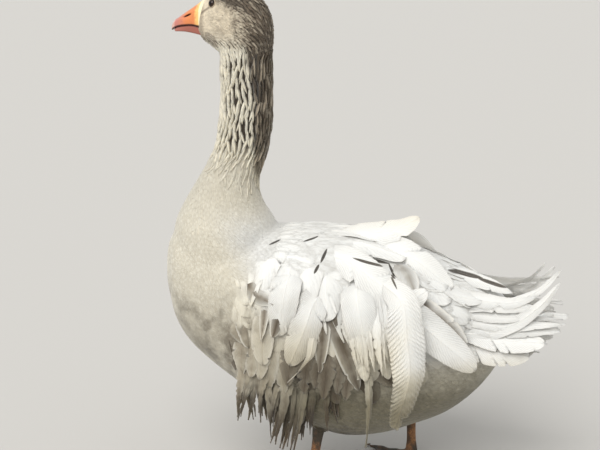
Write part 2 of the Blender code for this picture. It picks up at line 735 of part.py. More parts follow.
def main():
    clear_scene()
    parts = collection("domestic_goose")
    cutters = collection("cutters")
    white = material("white_plumes", (0.86, 0.84, 0.78), 0.7)
    cream = material("cream_coat", (0.72, 0.67, 0.56), 0.75)
    grey = material("grey_brown_coat", (0.34, 0.29, 0.23), 0.8)
    orange = material("orange_bill", (0.75, 0.33, 0.16), 0.4)
    dark = material("dark_eye", (0.03, 0.02, 0.015), 0.08)
    leg_skin = material("leg_skin", (0.36, 0.17, 0.07), 0.55)
    horn = material("claw_horn", (0.16, 0.12, 0.09), 0.4)

    body_pieces(parts, cutters, cream, grey)
    head_pieces(parts, cutters, grey, orange, dark)
    core = as_cutter(core_of_body("core_room", cutters, cutters, GAP))
    tail = tail_solid("tail", parts, cutters, 0.0)
    boolean(tail, "DIFFERENCE", core)
    finish(tail, parts, white)
    tail_room = as_cutter(tail_solid("tail_room", cutters, cutters, GAP))
    wing_pieces(parts, cutters, core, tail_room, white)
    leg_pieces("left", 1, LEFT_ANKLE_Y, LEFT_LEAN, parts, cutters, core, leg_skin, horn)
    leg_pieces("right", -1, RIGHT_ANKLE_Y, RIGHT_LEAN, parts, cutters, core, leg_skin, horn)


main()
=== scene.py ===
# %% [markdown]
# # A domestic goose with loose, curled plumes
# The real bird is a heavy farm goose whose flight feathers never stiffen: they hang and curl in long soft
# plumes. The solid model gives its outline, joints between parts and stance. This lesson clothes it: one
# skin under everything, thousands of small feathers laid on the skin, big plumes lofted one by one, and a
# horny bill, glassy eyes, lids, scaly legs and claws.

# %% Load the solid model as a fixed frame
import json
import math

import bmesh
import bpy
import numpy as np
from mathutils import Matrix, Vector
from mathutils.kdtree import KDTree

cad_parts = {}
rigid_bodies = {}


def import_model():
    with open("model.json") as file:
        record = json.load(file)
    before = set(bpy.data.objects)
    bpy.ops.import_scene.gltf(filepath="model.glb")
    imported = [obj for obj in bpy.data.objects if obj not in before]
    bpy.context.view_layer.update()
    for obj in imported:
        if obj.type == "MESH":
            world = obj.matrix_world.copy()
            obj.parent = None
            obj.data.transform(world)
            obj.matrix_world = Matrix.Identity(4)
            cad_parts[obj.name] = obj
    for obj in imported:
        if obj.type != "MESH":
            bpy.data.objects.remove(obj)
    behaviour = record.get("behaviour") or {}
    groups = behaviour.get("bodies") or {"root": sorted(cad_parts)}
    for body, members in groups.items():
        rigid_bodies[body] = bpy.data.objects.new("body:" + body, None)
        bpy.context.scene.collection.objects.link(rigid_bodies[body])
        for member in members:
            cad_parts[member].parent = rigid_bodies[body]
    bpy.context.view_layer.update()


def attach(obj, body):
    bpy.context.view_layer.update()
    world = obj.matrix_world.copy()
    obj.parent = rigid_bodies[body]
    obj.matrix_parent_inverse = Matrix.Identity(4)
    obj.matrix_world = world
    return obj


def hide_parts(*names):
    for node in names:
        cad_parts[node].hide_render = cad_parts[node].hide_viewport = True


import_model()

# %% [markdown]
# The form of the bird is held in short tables that say how high, deep and wide it is at places along it, in
# millimetres or in tenths of them. They are the tables of the solid model, so the skin lies inside those
# solids everywhere. A smooth curve through the rows gives every place between them.

# %% Tables of form
TRUNK = np.array((
    (-305, 345, 318, 12), (-301, 364, 276, 41), (-288, 385, 231, 68), (-266, 392, 197, 88),
    (-236, 392, 171, 103), (-198, 387, 143, 115), (-150, 380, 112, 124), (-98, 376, 83, 127),
    (-40, 371, 60, 125), (20, 360, 63, 119), (72, 342, 80, 109), (120, 326, 100, 92), (160, 309, 131, 73),
    (188, 296, 165, 54), (206, 281, 199, 34), (213, 258, 228, 10))) / 1000
TRUNK_WIDEST = 0.46
TRUNK_ROUNDNESS = 2.3
NECK = np.array((
    (3300, -2140, 810, 900), (3850, -2165, 765, 790), (4160, -2190, 630, 610), (4490, -2130, 520, 490),
    (4760, -2020, 470, 430), (5080, -1910, 420, 400), (5400, -1860, 415, 390), (5800, -1840, 400, 370),
    (6320, -1850, 405, 365), (6680, -1860, 360, 340))) / 10000
HEAD = np.array((
    (-745, -280, -660, 100), (-700, -100, -800, 220), (-580, 90, -880, 310), (-400, 195, -900, 355),
    (-180, 250, -850, 360), (20, 255, -755, 325), (160, 215, -690, 275), (255, 165, -640, 232),
    (320, 90, -612, 210), (365, -70, -585, 196), (400, -240, -550, 165))) / 10000
HEAD_WIDEST = 0.50
NECK_ROUNDNESS = 2.1
WING = np.array((
    (-1660, 10, 20, 3000), (-1500, 30, 110, 2620), (-1100, 60, 180, 2360), (-600, 100, 210, 2280),
    (-100, 110, 220, 2300), (400, 90, 220, 2400), (850, 65, 200, 2500), (1250, 55, 160, 2560),
    (1600, 60, 110, 2620), (1840, 40, 60, 2680))) / 10000
RUMP = np.array((
    (150, 240, 40, 34), (185, 240, 42, 30), (212, 243, 36, 20), (226, 246, 20, 8))) / 1000
SHANK = np.array((
    (20, 58, 68), (80, 82, 95), (160, 80, 92), (300, 60, 74), (520, 58, 72), (720, 68, 82), (920, 90, 110),
    (1250, 130, 170))) / 10000

# Turned head: the direction it looks, its left, and the point between the eyes
HEAD_TURN = math.radians(24.0)
AHEAD = np.array((-math.sin(HEAD_TURN), -math.cos(HEAD_TURN), 0.0))
LEFT = np.array((math.cos(HEAD_TURN), -math.sin(HEAD_TURN), 0.0))
UP = np.array((0.0, 0.0, 1.0))
SIDEWAYS = np.array((1.0, 0.0, 0.0))
BACKWARDS = np.array((0.0, 1.0, 0.0))
BETWEEN_EYES = np.array((0.0, -0.185, 0.711)) + AHEAD * 0.034

# Depth of the coat over the skin
COAT_ON_TRUNK = 0.0055
COAT_ON_NECK = 0.0060
COAT_ON_HEAD = 0.0018
RUMP_INSET = 0.003


def rows_at(table, places):
    """The columns of a table at places along it, on a smooth curve through its rows."""
    x = table[:, 0]
    last = len(x) - 1
    places = np.clip(np.atleast_1d(places), x[0], x[-1])
    step = np.clip(np.searchsorted(x, places, side="right") - 1, 0, last - 1)
    low, high = table[step], table[step + 1]
    before, after = table[np.maximum(step - 1, 0)], table[np.minimum(step + 2, last)]
    span = (high[:, :1] - low[:, :1])
    t = (places[:, None] - low[:, :1]) / span
    slope_in = span * (high - before) / (high[:, :1] - before[:, :1])
    slope_out = span * (after - low) / (after[:, :1] - low[:, :1])
    made = ((2 * t**3 - 3 * t**2 + 1) * low + (t**3 - 2 * t**2 + t) * slope_in
            + (3 * t**2 - 2 * t**3) * high + (t**3 - t**2) * slope_out)
    return made[:, 1:]


def ease(value, low, high):
    """0 below low, 1 above high, and a soft step between them."""
    t = np.clip((value - low) / (high - low), 0, 1)
    return t * t * (3 - 2 * t)


print("trunk from", TRUNK[0, 0], "to", TRUNK[-1, 0], "m along, neck up to", NECK[-1, 0], "m")

# %% Small helpers for numbers and meshes
def unit(vectors):
    return vectors / np.maximum(np.linalg.norm(vectors, axis=-1, keepdims=True), 1e-9)


def signed_power(values, exponent):
    return np.sign(values) * np.abs(values) ** exponent


def full_turn(steps):
    """Angles evenly round a circle."""
    return 2 * math.pi * np.arange(steps) / steps


def read(items, key, width=1, kind=np.float32):
    """One number, or a row of numbers, for each item in a list of mesh data."""
    flat = np.empty(len(items) * width, kind)
    items.foreach_get(key, flat)
    flat = flat.astype(float) if kind is np.float32 else flat
    return flat.reshape(-1, width) if width > 1 else flat


def store(data, name, values, kind="FLOAT"):
    """Keeps a number, or a vector, on each point of a mesh."""
    key = "vector" if kind == "FLOAT_VECTOR" else "value"
    data.attributes.new(name, kind, "POINT").data.foreach_set(key, np.ravel(values))


def face_out(data):
    """Turns the faces of closed forms outwards."""
    shell = bmesh.new()
    shell.from_mesh(data)
    bmesh.ops.recalc_face_normals(shell, faces=shell.faces[:])
    shell.to_mesh(data)
    shell.free()


def linked(name, data):
    """A new object in the scene."""
    made = bpy.data.objects.new(name, data)
    bpy.context.scene.collection.objects.link(made)
    return made


# %% [markdown]
# ## The skin
# Under the feathers a goose is one skin, from the bill to the toes. It could be carved from the solids by
# Booleans, but that keeps their facets and seams. Here each region is lofted again from its table with many
# more sections, set in by the depth of the coat, and a voxel remesh melts them into one smooth surface. The
# folded wings are a swelling of the trunk's sections, because feathers hide the joint.

# %% Lofting closed forms from sections
def object_from(name, vertices, faces):
    """A mesh object from points and faces, linked to the scene."""
    data = bpy.data.meshes.new(name)
    data.from_pydata([tuple(v) for v in vertices], [], [tuple(int(i) for i in f) for f in faces])
    data.validate()
    return linked(name, data)


def loft(rings):
    """Points and faces of a closed form through rings of shape (rings, points, 3)."""
    rings = np.asarray(rings)
    count, sides = rings.shape[:2]
    index = np.arange(count * sides).reshape(count, sides)
    after = np.roll(index, -1, axis=1)
    quads = np.stack((index[:-1], after[:-1], after[1:], index[1:]), axis=-1).reshape(-1, 4)
    faces = [tuple(q) for q in quads] + [tuple(index[0][::-1]), tuple(index[-1])]
    return rings.reshape(-1, 3), faces


def gathered(forms):
    """The points and faces of several closed forms as one list each."""
    points, faces, used = [], [], 0
    for rings in forms:
        form_points, form_faces = loft(rings)
        points.append(form_points)
        faces += [tuple(i + used for i in face) for face in form_faces]
        used += len(form_points)
    return np.concatenate(points), faces


def wing_depth(y, angle):
    """How far the folded wing stands out from the trunk, at a place along it and an angle round it."""
    over_spine, at_side, edge = rows_at(WING, y).T
    top, bottom, _ = rows_at(TRUNK, y).T
    middle = bottom + TRUNK_WIDEST * (top - bottom)
    lowest = np.arcsin(np.clip((edge - middle) / (top - middle), -1, 1))
    rise = np.arcsin(np.clip(np.sin(angle), -1, 1))
    share = (math.pi / 2 - rise) / np.maximum(math.pi / 2 - lowest, 0.05)
    depth = over_spine + (at_side - over_spine) * np.sin(math.pi / 2 * np.clip(share * 1.6, 0, 1))
    depth *= 1 - ease(share, 0.94, 1.32)
    return depth * ease(y, -0.168, -0.140) * (1 - ease(y, 0.170, 0.200))


def trunk_rings(stations, sides, inset):
    """Sections of the trunk with the folded wings on it."""
    angle = full_turn(sides)
    rings = []
    for y in stations:
        top, bottom, half = rows_at(TRUNK, y)[0]
        middle = bottom + TRUNK_WIDEST * (top - bottom)
        extra = wing_depth(np.full(sides, y), angle) - inset
        height = np.where(np.sin(angle) > 0, top - middle, middle - bottom) + extra
        across = signed_power(np.cos(angle), 2 / TRUNK_ROUNDNESS) * np.maximum(half + extra, 0.001)
        rise = signed_power(np.sin(angle), 2 / TRUNK_ROUNDNESS) * np.maximum(height, 0.001)
        rings.append(np.stack((across, np.full(sides, y), middle + rise), axis=1))
    rings = np.array(rings)
    rings[0, :, 1] += inset
    rings[-1, :, 1] -= inset
    return rings


def oval_rings(centres, side, up, half, above, below, sides, roundness):
    angle = full_turn(sides)
    across = signed_power(np.cos(angle), 2 / roundness)
    rise = signed_power(np.sin(angle), 2 / roundness)
    rings = []
    for centre, wide, high, low in zip(centres, half, above, below):
        height = np.where(rise > 0, high, low) * rise
        rings.append(centre + np.outer(across * wide, side) + np.outer(height, up))
    return np.array(rings)


def neck_rings(low, high, count, sides, inset):
    heights = np.linspace(low, high, count)
    y, deep, half = rows_at(NECK, heights).T
    centres = np.stack((0 * y, y, heights), axis=1)
    inset = inset * ease(heights, 0.36, 0.46)
    return oval_rings(centres, SIDEWAYS, BACKWARDS, half - inset, deep - inset, deep - inset, sides,
                      NECK_ROUNDNESS)


def head_rings(count, sides, inset):
    distance = np.linspace(HEAD[0, 0], HEAD[-1, 0], count)
    crown, throat, half = rows_at(HEAD, distance).T
    widest = throat + HEAD_WIDEST * (crown - throat)
    centres = BETWEEN_EYES + np.outer(distance, AHEAD) + np.outer(widest, UP)
    return oval_rings(centres, LEFT, UP, half - inset, crown - widest - inset, widest - throat - inset,
                      sides, 2.15)


print("wing stands out by", round(float(wing_depth(np.array([0.0]), np.array([0.1]))[0]) * 1000, 1), "mm")

# %% [markdown]
# ## Legs and webbed feet
# A goose has a stout scaly shank, three front toes joined by a web, and a small hind toe. The toes swell at
# each joint, and their soles lie flat on the floor. They could be modelled by hand. Simple lofts that
# overlap and are melted together give the same round joints with less work.

# %% Sections of the legs, toes and webs
SIDES = (("left", 1), ("right", -1))
FOOT_HALF_TRACK = 0.056
MIDDLE_TOE = 0.082
LEGS = (("left", 1, -0.079, 0.14), ("right", -1, 0.066, -0.02))
TOES = (("inner", -27.0, 0.80, 0.0050), ("middle", 0.0, 1.0, 0.0056), ("outer", 25.0, 0.93, 0.0050),
        ("hind", 168.0, 0.27, 0.0034))


def toe_lines(side, ankle_y):
    """Where each toe starts and ends on the floor, with its half thickness."""
    lines = {}
    for name, turn, length, half in TOES:
        bearing = math.radians(turn) * side + math.radians(6.0) * side
        heading = np.array((math.sin(bearing), -math.cos(bearing), 0.0))
        start = np.array((FOOT_HALF_TRACK * side, ankle_y, 0.0)) + heading * 0.004
        lines[name] = (start, start + heading * MIDDLE_TOE * length, half)
    return lines


def toe_rings(start, end, half, count=26, sides=14):
    heading = unit(end - start)
    across = np.array((-heading[1], heading[0], 0.0))
    angle = full_turn(sides)
    rings = []
    for share in np.linspace(0, 1, count):
        knuckle = 1 + 0.10 * math.sin(share * 3 * 2 * math.pi + 0.9)
        reach = half * (1 - 0.36 * share) * knuckle * (1 - 0.45 * ease(share, 0.86, 1.0))
        height = reach * 1.6 + 0.006 * max(0.0, 1 - share * 2.6)
        centre = start + (end - start) * share + UP * height / 2
        flat = signed_power(np.sin(angle), 0.62)
        rings.append(centre + np.outer(signed_power(np.cos(angle), 0.8) * reach, across)
                     + np.outer(flat * height / 2, UP))
    return np.array(rings)


def web_rings(lines):
    start = lines["middle"][0]
    tips = [lines[key][0] + (lines[key][1] - lines[key][0]) * 0.93 for key in ("inner", "middle", "outer")]
    outline = [start + np.array((0, 0.004, 0))]
    for first, second in zip(tips, tips[1:]):
        for share in np.linspace(0, 1, 9)[:-1]:
            point = first + (second - first) * share
            outline.append(point + (start - point) * 0.20 * math.sin(math.pi * share))
    outline.append(tips[-1])
    outline = np.array(outline)
    return np.array((outline + UP * 0.0006, outline + UP * 0.0030))


def shank_rings(side, ankle_y, lean):
    heights = np.linspace(0.002, 0.118, 40)
    half, deep = rows_at(SHANK, heights).T
    centres = np.stack((np.full(40, FOOT_HALF_TRACK * side), ankle_y + lean * (heights - 0.008), heights), 1)
    return oval_rings(centres, SIDEWAYS, BACKWARDS, half, deep, deep, 20, 2.0)


def melted(name, forms, voxel, smoothing):
    """One closed surface round several overlapping closed forms."""
    rough = object_from(name, *gathered(forms))
    face_out(rough.data)
    remesh = rough.modifiers.new("melt", "REMESH")
    remesh.mode = "VOXEL"
    remesh.voxel_size = voxel
    smooth = rough.modifiers.new("smooth", "SMOOTH")
    smooth.factor = 0.5
    smooth.iterations = smoothing
    return settled(rough, name)


def settled(thing, name):
    """The object with its modifiers made part of its mesh."""
    bpy.context.view_layer.update()
    done = thing.evaluated_get(bpy.context.evaluated_depsgraph_get())
    data = bpy.data.meshes.new_from_object(done)
    data.name = name
    bpy.data.objects.remove(thing, do_unlink=True)
    return linked(name, data)


leg_forms = []
for side_name, side, ankle_y, lean in LEGS:
    lines = toe_lines(side, ankle_y)
    forms = [toe_rings(*lines[key]) for key in lines] + [web_rings(lines), shank_rings(side, ankle_y, lean)]
    leg_forms.append(melted("bare_leg_" + side_name, forms, 0.00125, 4))
print("bare legs:", [len(leg.data.polygons) for leg in leg_forms], "faces")

# %% [markdown]
# The neck runs into the breast without an edge, so the body is melted too. The toes are finer than its grid,
# so the legs have a smaller one of their own, and a Boolean joins them to the body.

# %% Melt the trunk, neck and head together and join the legs
body_forms = [
    trunk_rings(np.concatenate((TRUNK[:3, 0], np.linspace(-0.280, 0.200, 60), TRUNK[-2:, 0])), 56,
                COAT_ON_TRUNK),
    neck_rings(0.330, 0.668, 40, 40, COAT_ON_NECK),
    head_rings(34, 40, COAT_ON_HEAD),
    oval_rings(np.stack((0 * RUMP[:, 0], RUMP[:, 0], RUMP[:, 1]), 1), SIDEWAYS, UP, RUMP[:, 2] - RUMP_INSET,
               RUMP[:, 3] - RUMP_INSET, RUMP[:, 3] - RUMP_INSET, 24, 2.0),
]
skin = melted("skin", body_forms, 0.0034, 12)
for leg in leg_forms:
    union = skin.modifiers.new("join " + leg.name, "BOOLEAN")
    union.operation = "UNION"
    union.solver = "MANIFOLD"
    union.object = leg
skin = settled(skin, "skin")
for leg in leg_forms:
    bpy.data.objects.remove(leg, do_unlink=True)
print("skin:", len(skin.data.polygons), "faces")

# %% [markdown]
# ## Lids and eye sockets
# A goose's lids fit close to the eyeball and end in a smooth pale rim. They could be separate rings, but then
# a seam shows. Here the skin itself is divided finely round each eye. The points in the opening are drawn in
# behind the eyeball, and the points round it are laid over the ball, with a raised rim.

# %% Shape the lids from the skin
EYE_RADIUS = 0.0066
EYE_OUT = 0.0222
EYE_AHEAD = 0.0070
OPENING = (0.0054, 0.0046)


def eye_axes(side):
    """The middle of an eyeball, the way it looks, and the long and short ways of the lid opening."""
    middle = BETWEEN_EYES + AHEAD * EYE_AHEAD + LEFT * side * EYE_OUT
    out = unit(LEFT * side + AHEAD * 0.18 + UP * 0.10)
    long_way = unit(np.cross(UP, out) * -side)
    return middle, out, long_way, unit(np.cross(out, long_way))


def at_eye(points, side):
    """From an eyeball's middle to points, how far they are, and how far across the lid opening."""
    middle, _, long_way, short_way = eye_axes(side)
    away = points - middle
    span = np.hypot(away @ long_way / OPENING[0], away @ short_way / OPENING[1])
    return away, np.linalg.norm(away, axis=1), span


def head_place(points):
    """Distances ahead of the eyes, to the left, and above them."""
    away = points - BETWEEN_EYES
    return away @ AHEAD, away @ LEFT, away @ UP


def refine(thing, wanted):
    """Halves the edges whose two ends are both wanted."""
    shell = bmesh.new()
    shell.from_mesh(thing.data)
    inside = wanted(np.array([vert.co for vert in shell.verts]))
    edges = [e for e in shell.edges if inside[e.verts[0].index] and inside[e.verts[1].index]]
    bmesh.ops.subdivide_edges(shell, edges=edges, cuts=1, use_grid_fill=True)
    bmesh.ops.triangulate(shell, faces=[f for f in shell.faces if len(f.verts) > 4])
    shell.to_mesh(thing.data)
    shell.free()


# %% Divide the skin round the eyes and lay the lids
refine(skin, lambda p: (head_place(p)[0] > -0.010) & (p[:, 2] > 0.640))
for reach in (0.0135, 0.0115):
    refine(skin, lambda p: np.minimum(at_eye(p, 1)[1], at_eye(p, -1)[1]) < reach)
points = read(skin.data.vertices, "co", 3)
for side in (1, -1):
    middle, out = eye_axes(side)[:2]
    away, reach, opening = at_eye(points, side)
    ray = unit(away)
    near = (reach < 0.0125) & (ray @ out > 0.05)
    behind_ball = middle + ray * (EYE_RADIUS - 0.0012)
    rim = 0.0010 * np.exp(-((opening - 1.18) / 0.16) ** 2)
    over_ball = middle + ray * (EYE_RADIUS + 0.0005 + rim)[:, None]
    blend = ease(opening, 1.35, 2.15)[:, None]
    lid = over_ball * (1 - blend) + points * blend
    points = np.where((near & (opening < 1.0))[:, None], behind_ball, points)
    points = np.where((near & (opening >= 1.0))[:, None], lid, points)
skin.data.vertices.foreach_set("co", points.astype(np.float32).ravel())
skin.data.update()
skin.data.shade_smooth()
skin.data.calc_loop_triangles()
print("skin with lids:", len(skin.data.loop_triangles), "triangles")

# %% [markdown]
# ## Which way the feathers lie
# Feathers point away from the bill: back over the cheeks, down the neck, and back along the body, as tiles
# lie on a roof. This could be combed by hand, but one function gives the direction at any place. Another
# gives each place its spot on an unwrap of the skin, so that every feather later takes its colours from its
# own root.

# %% The lie of the coat and the unwrap of the skin
TRUNK_MIDDLE_HEIGHT = 0.24


def lie_at(points, normals):
    """The direction along the skin in which a feather points."""
    ahead = head_place(points)[0]
    x, y, z = points.T
    on_head = ease(z, 0.632, 0.672)[:, None]
    on_trunk = (1 - ease(z, 0.360, 0.480))[:, None]
    slope = np.stack((0 * x, 0.10 + 0 * x, -1 + 0 * x), axis=1)
    front = 1 - ease(y, -0.29, -0.15)
    back = np.stack((0 * x, 1 - 0.92 * front, -0.55 * (1 - normals[:, 2] ** 2) * (1 - front) - front), axis=1)
    head = -AHEAD - UP * 0.75 * ease(-ahead, -0.02, 0.06)[:, None]
    way = slope * (1 - on_trunk) + unit(back) * on_trunk
    way = way * (1 - on_head) + unit(head) * on_head
    way -= normals * np.sum(way * normals, axis=1, keepdims=True)
    return unit(way)


def unwrapped(points):
    """A place in the unit square for each place on the skin: the trunk below, the neck and head above."""
    x, y, z = points.T
    round_trunk = np.arctan2(x, z - TRUNK_MIDDLE_HEIGHT) / (2 * math.pi) + 0.5
    trunk = np.stack((0.03 + 0.94 * round_trunk, 0.03 + 0.50 * (y + 0.31) / 0.62), axis=1)
    axis = rows_at(NECK, z)[:, 0]
    round_neck = np.arctan2(x, -(y - axis)) / (2 * math.pi) + 0.5
    neck = np.stack((0.03 + 0.55 * round_neck, 0.58 + 0.38 * (z - 0.40) / 0.26), axis=1)
    ahead, left, above = head_place(points)
    round_head = np.arctan2(left, above + 0.030) / (2 * math.pi) + 0.5
    head = np.stack((0.63 + 0.34 * round_head, 0.58 + 0.38 * (0.035 - ahead) / 0.115), axis=1)
    low_leg = np.stack((0.03 + 0.94 * ((x * 4) % 1.0), 0.004 + 0.02 * np.clip(z / 0.1, 0, 1)), axis=1)
    made = np.where((z > 0.405)[:, None], neck, trunk)
    made = np.where((z > 0.645)[:, None], head, made)
    return np.where((z < 0.058)[:, None], low_leg, made)


# %% Random places on the skin
def surface_samples(data, count):
    """Random places on a mesh with their normals, the same number for each square metre."""
    data.calc_loop_triangles()
    corners = read(data.loop_triangles, "vertices", 3, np.int32)
    places, normals = (read(data.vertices, key, 3) for key in ("co", "normal"))
    a, b, c = (places[corners[:, i]] for i in range(3))
    area = np.linalg.norm(np.cross(b - a, c - a), axis=1)
    chosen = rng.choice(len(corners), count, p=area / area.sum())
    u, v = np.sqrt(rng.random(count)), rng.random(count)
    weights = np.stack((1 - u, u * (1 - v), u * v), axis=1)
    found = np.einsum("ij,ijk->ik", weights, places[corners[chosen]])
    facing = np.einsum("ij,ijk->ik", weights, normals[corners[chosen]])
    return found, unit(facing)


def tree_of(points):
    tree = KDTree(len(points))
    for i, point in enumerate(points):
        tree.insert(point, i)
    tree.balance()
    return tree


def spaced(points, gap):
    """Picks places that keep the wanted gap between them, in the order given."""
    tree = tree_of(points)
    free = np.ones(len(points), bool)
    chosen = []
    for i in range(len(points)):
        if free[i]:
            chosen.append(i)
            for _, j, _ in tree.find_range(points[i], gap[i]):
                free[j] = False
    return np.array(chosen)


SAMPLE_COUNT = 160000
rng = np.random.default_rng(5)
samples, facings = surface_samples(skin.data, SAMPLE_COUNT)
print("unwrap spans", unwrapped(samples).min(0).round(2), "to", unwrapped(samples).max(0).round(2))

# %% [markdown]
# ## Colours of the bird
# The breast is cream, the wings and tail are white, and the crown and nape are grey-brown. Mud and grease
# darken the low feathers, and painted shade darkens the belly, the furrows and the gaps between feathers.
# These markings could be painted as an image, but an image would have to be stored.
# Here one shader group works the colour out from the place on the bird, and the skin, the small feathers
# and the big plumes all use it, so their markings always agree.

# %% A short way to wire shader nodes
class Value:
    """What a node gives out. Sums, differences and products of values become Math nodes."""

    def __init__(self, wiring, socket):
        self.wiring, self.socket = wiring, socket

    def __add__(self, other):
        return self.wiring.maths("ADD", self, other)

    def __sub__(self, other):
        return self.wiring.maths("SUBTRACT", self, other)

    def __rsub__(self, other):
        return self.wiring.maths("SUBTRACT", other, self)

    def __mul__(self, other):
        return self.wiring.maths("MULTIPLY", self, other)

    def __abs__(self):
        return self.wiring.maths("ABSOLUTE", self)

    def at_least(self, other):
        return self.wiring.maths("MAXIMUM", self, other)

    def at_most(self, other):
        return self.wiring.maths("MINIMUM", self, other)


class Wiring:
    """Adds nodes to a tree. Each call returns a value that the next call can take."""

    def __init__(self, tree):
        self.tree = tree

    def node(self, kind, values=(), **settings):
        made = self.tree.nodes.new(kind)
        for key, value in settings.items():
            setattr(made, key, value)
        for key, value in dict(values).items():
            self.feed(made.inputs[key], value)
        return made

    def feed(self, socket, value):
        if isinstance(value, Value):
            self.tree.links.new(value.socket, socket)
        else:
            socket.default_value = value

    def outputs(self, node):
        return {socket.name: Value(self, socket) for socket in node.outputs}

    def out(self, kind, values=(), output=0, **settings):
        return Value(self, self.node(kind, values, **settings).outputs[output])

    def maths(self, operation, first, second=0.0):
        return self.out("ShaderNodeMath", {0: first, 1: second}, operation=operation)

    def vector(self, operation, first, second, output=0):
        second_key = 3 if operation == "SCALE" else 1
        return self.out("ShaderNodeVectorMath", {0: first, second_key: second}, output, operation=operation)

    def step(self, value, low, high, start=0.0, end=1.0):
        """A soft step from start to end as value goes from low to high."""
        return self.out("ShaderNodeMapRange", {0: value, 1: low, 2: high, 3: start, 4: end},
                        interpolation_type="SMOOTHSTEP")

    def blend(self, share, first, second, kind="MIX"):
        values = {0: share, 6: first, 7: second}
        return self.out("ShaderNodeMix", values, 2, data_type="RGBA", blend_type=kind)

    def noise(self, place, scale, detail=2.0, stretch=None):
        if stretch is not None:
            place = self.out("ShaderNodeMapping", {"Vector": place, "Scale": stretch})
        return self.out("ShaderNodeTexNoise", {"Vector": place, "Scale": scale, "Detail": detail})

    def attribute(self, name):
        return self.out("ShaderNodeAttribute", output="Fac", attribute_name=name)

    def height_of(self, place):
        return self.out("ShaderNodeSeparateXYZ", {0: place}, 2)

    def group(self, tree, values):
        return self.outputs(self.node("ShaderNodeGroup", values, node_tree=tree))

    def along_axis(self, place, centre, axis):
        """How far a place lies from a centre along an axis."""
        return self.vector("DOT_PRODUCT", self.vector("SUBTRACT", place, tuple(centre)), tuple(axis), 1)

    def near_line(self, place, start, end, width):
        """1 on a line from start to end as seen from the side, given by y and z, and 0 beyond its width."""
        start, run = Vector((0, *start)), Vector((0, *end)) - Vector((0, *start))
        flat = self.vector("MULTIPLY", place, (0, 1, 1))
        share = self.maths("DIVIDE", self.along_axis(flat, start, run.normalized()), run.length)
        share = share.at_least(0.0).at_most(1.0)
        spot = self.vector("ADD", self.vector("SCALE", run, share), start)
        ends = self.maths("POWER", abs(share * 2.0 - 1.0), 3.0)
        away = self.vector("DISTANCE", flat, spot, 1)
        return self.step(ends * (width * 0.7) + away, width, width * 0.6)


def shader_group(name, inputs, outputs):
    """An empty shader group, its wiring, the values given to it, and the sockets that it fills."""
    tree = bpy.data.node_groups.new(name, "ShaderNodeTree")
    for label, value in inputs.items():
        kind = "NodeSocketVector" if value is None else "NodeSocketFloat"
        socket = tree.interface.new_socket(label, in_out="INPUT", socket_type=kind)
        if value is not None:
            socket.default_value = value
    for label, kind in outputs.items():
        tree.interface.new_socket(label, in_out="OUTPUT", socket_type=kind)
    w = Wiring(tree)
    return tree, w, w.outputs(w.node("NodeGroupInput")), w.node("NodeGroupOutput").inputs


# %% The colours, and lines of shade
CREAM = (0.74, 0.685, 0.56, 1)
WHITE = (0.775, 0.765, 0.735, 1)
NAPE = (0.086, 0.067, 0.047, 1)
NAPE_PALE = (0.43, 0.365, 0.28, 1)
FLANK_GREY = (0.36, 0.315, 0.235, 1)
CHEEK_CREAM = (0.82, 0.70, 0.52, 1)
BELLY_SHADE_AND_DIRT = (0.130, 0.112, 0.065, 1)
MUD_AND_SHADE = (0.045, 0.032, 0.019, 1)
SOILED = (0.140, 0.113, 0.080, 1)
# Painted shade in the neck's furrows and in the gaps where the wing feathers part
FURROW_SHADE = (0.030, 0.022, 0.014, 1)
CREASE_SHADE = (0.16, 0.115, 0.080, 1)
RIM_CREAM = (0.80, 0.77, 0.68, 1)
CREASE_START, CREASE_SLOPE = 0.0005, -0.50
# Lines seen from the side, each with its two ends, as y and z, and its width: the painted shade of the
# throat, and the painted shadows where the wing feathers part
THROAT_SHADE = ((-0.246, 0.668), (-0.224, 0.648), 0.0090)
PARTING_SHADOWS = (((-0.016, 0.358), (0.036, 0.346), 0.0022), ((0.034, 0.347), (0.050, 0.322), 0.0020),
            ((0.119, 0.329), (0.170, 0.316), 0.0030), ((0.162, 0.317), (0.206, 0.302), 0.0026),
            ((-0.141, 0.367), (-0.125, 0.373), 0.0013), ((-0.091, 0.372), (-0.071, 0.377), 0.0013),
            ((-0.055, 0.365), (-0.062, 0.349), 0.0026), ((-0.064, 0.347), (-0.070, 0.336), 0.0026))

# %% The markings as one shader group
markings, w, given, made = shader_group(
    "goose markings", {"Place": None}, {"Colour": "NodeSocketColor", "Nape": "NodeSocketFloat"})
place = given["Place"]
x, y, z = (w.out("ShaderNodeSeparateXYZ", {0: place}, axis) for axis in range(3))
wobble = w.noise(place, 90.0, 3.0) - 0.5
patches = w.noise(place, 26.0, 4.0)
ahead = w.along_axis(place, BETWEEN_EYES, AHEAD)
above = z - float(BETWEEN_EYES[2])

# The grey-brown of the crown, the back of the cheek and the nape
feathery = (w.noise(place, 300.0, 2.0) - 0.5) * 0.048
behind_cheek = w.step(ahead + (wobble * 0.050 + feathery), -0.020, -0.070)
crown_line = wobble * 0.012 + (feathery * 0.3 + (ahead.at_most(0.0) * -0.36 + above))
crown = w.step(crown_line, -0.002, 0.011) * w.step(ahead + feathery, 0.028, -0.004)
head_grey = behind_cheek.at_least(crown) * w.step(z, 0.638, 0.660)
border = y + (z - 0.57).at_least(0.0) * 0.14 + wobble * 0.010
neck_grey = w.step(border, -0.1725, -0.1645) * w.step(z, 0.440, 0.472) * w.step(z, 0.672, 0.650)
nape = head_grey.at_least(neck_grey)
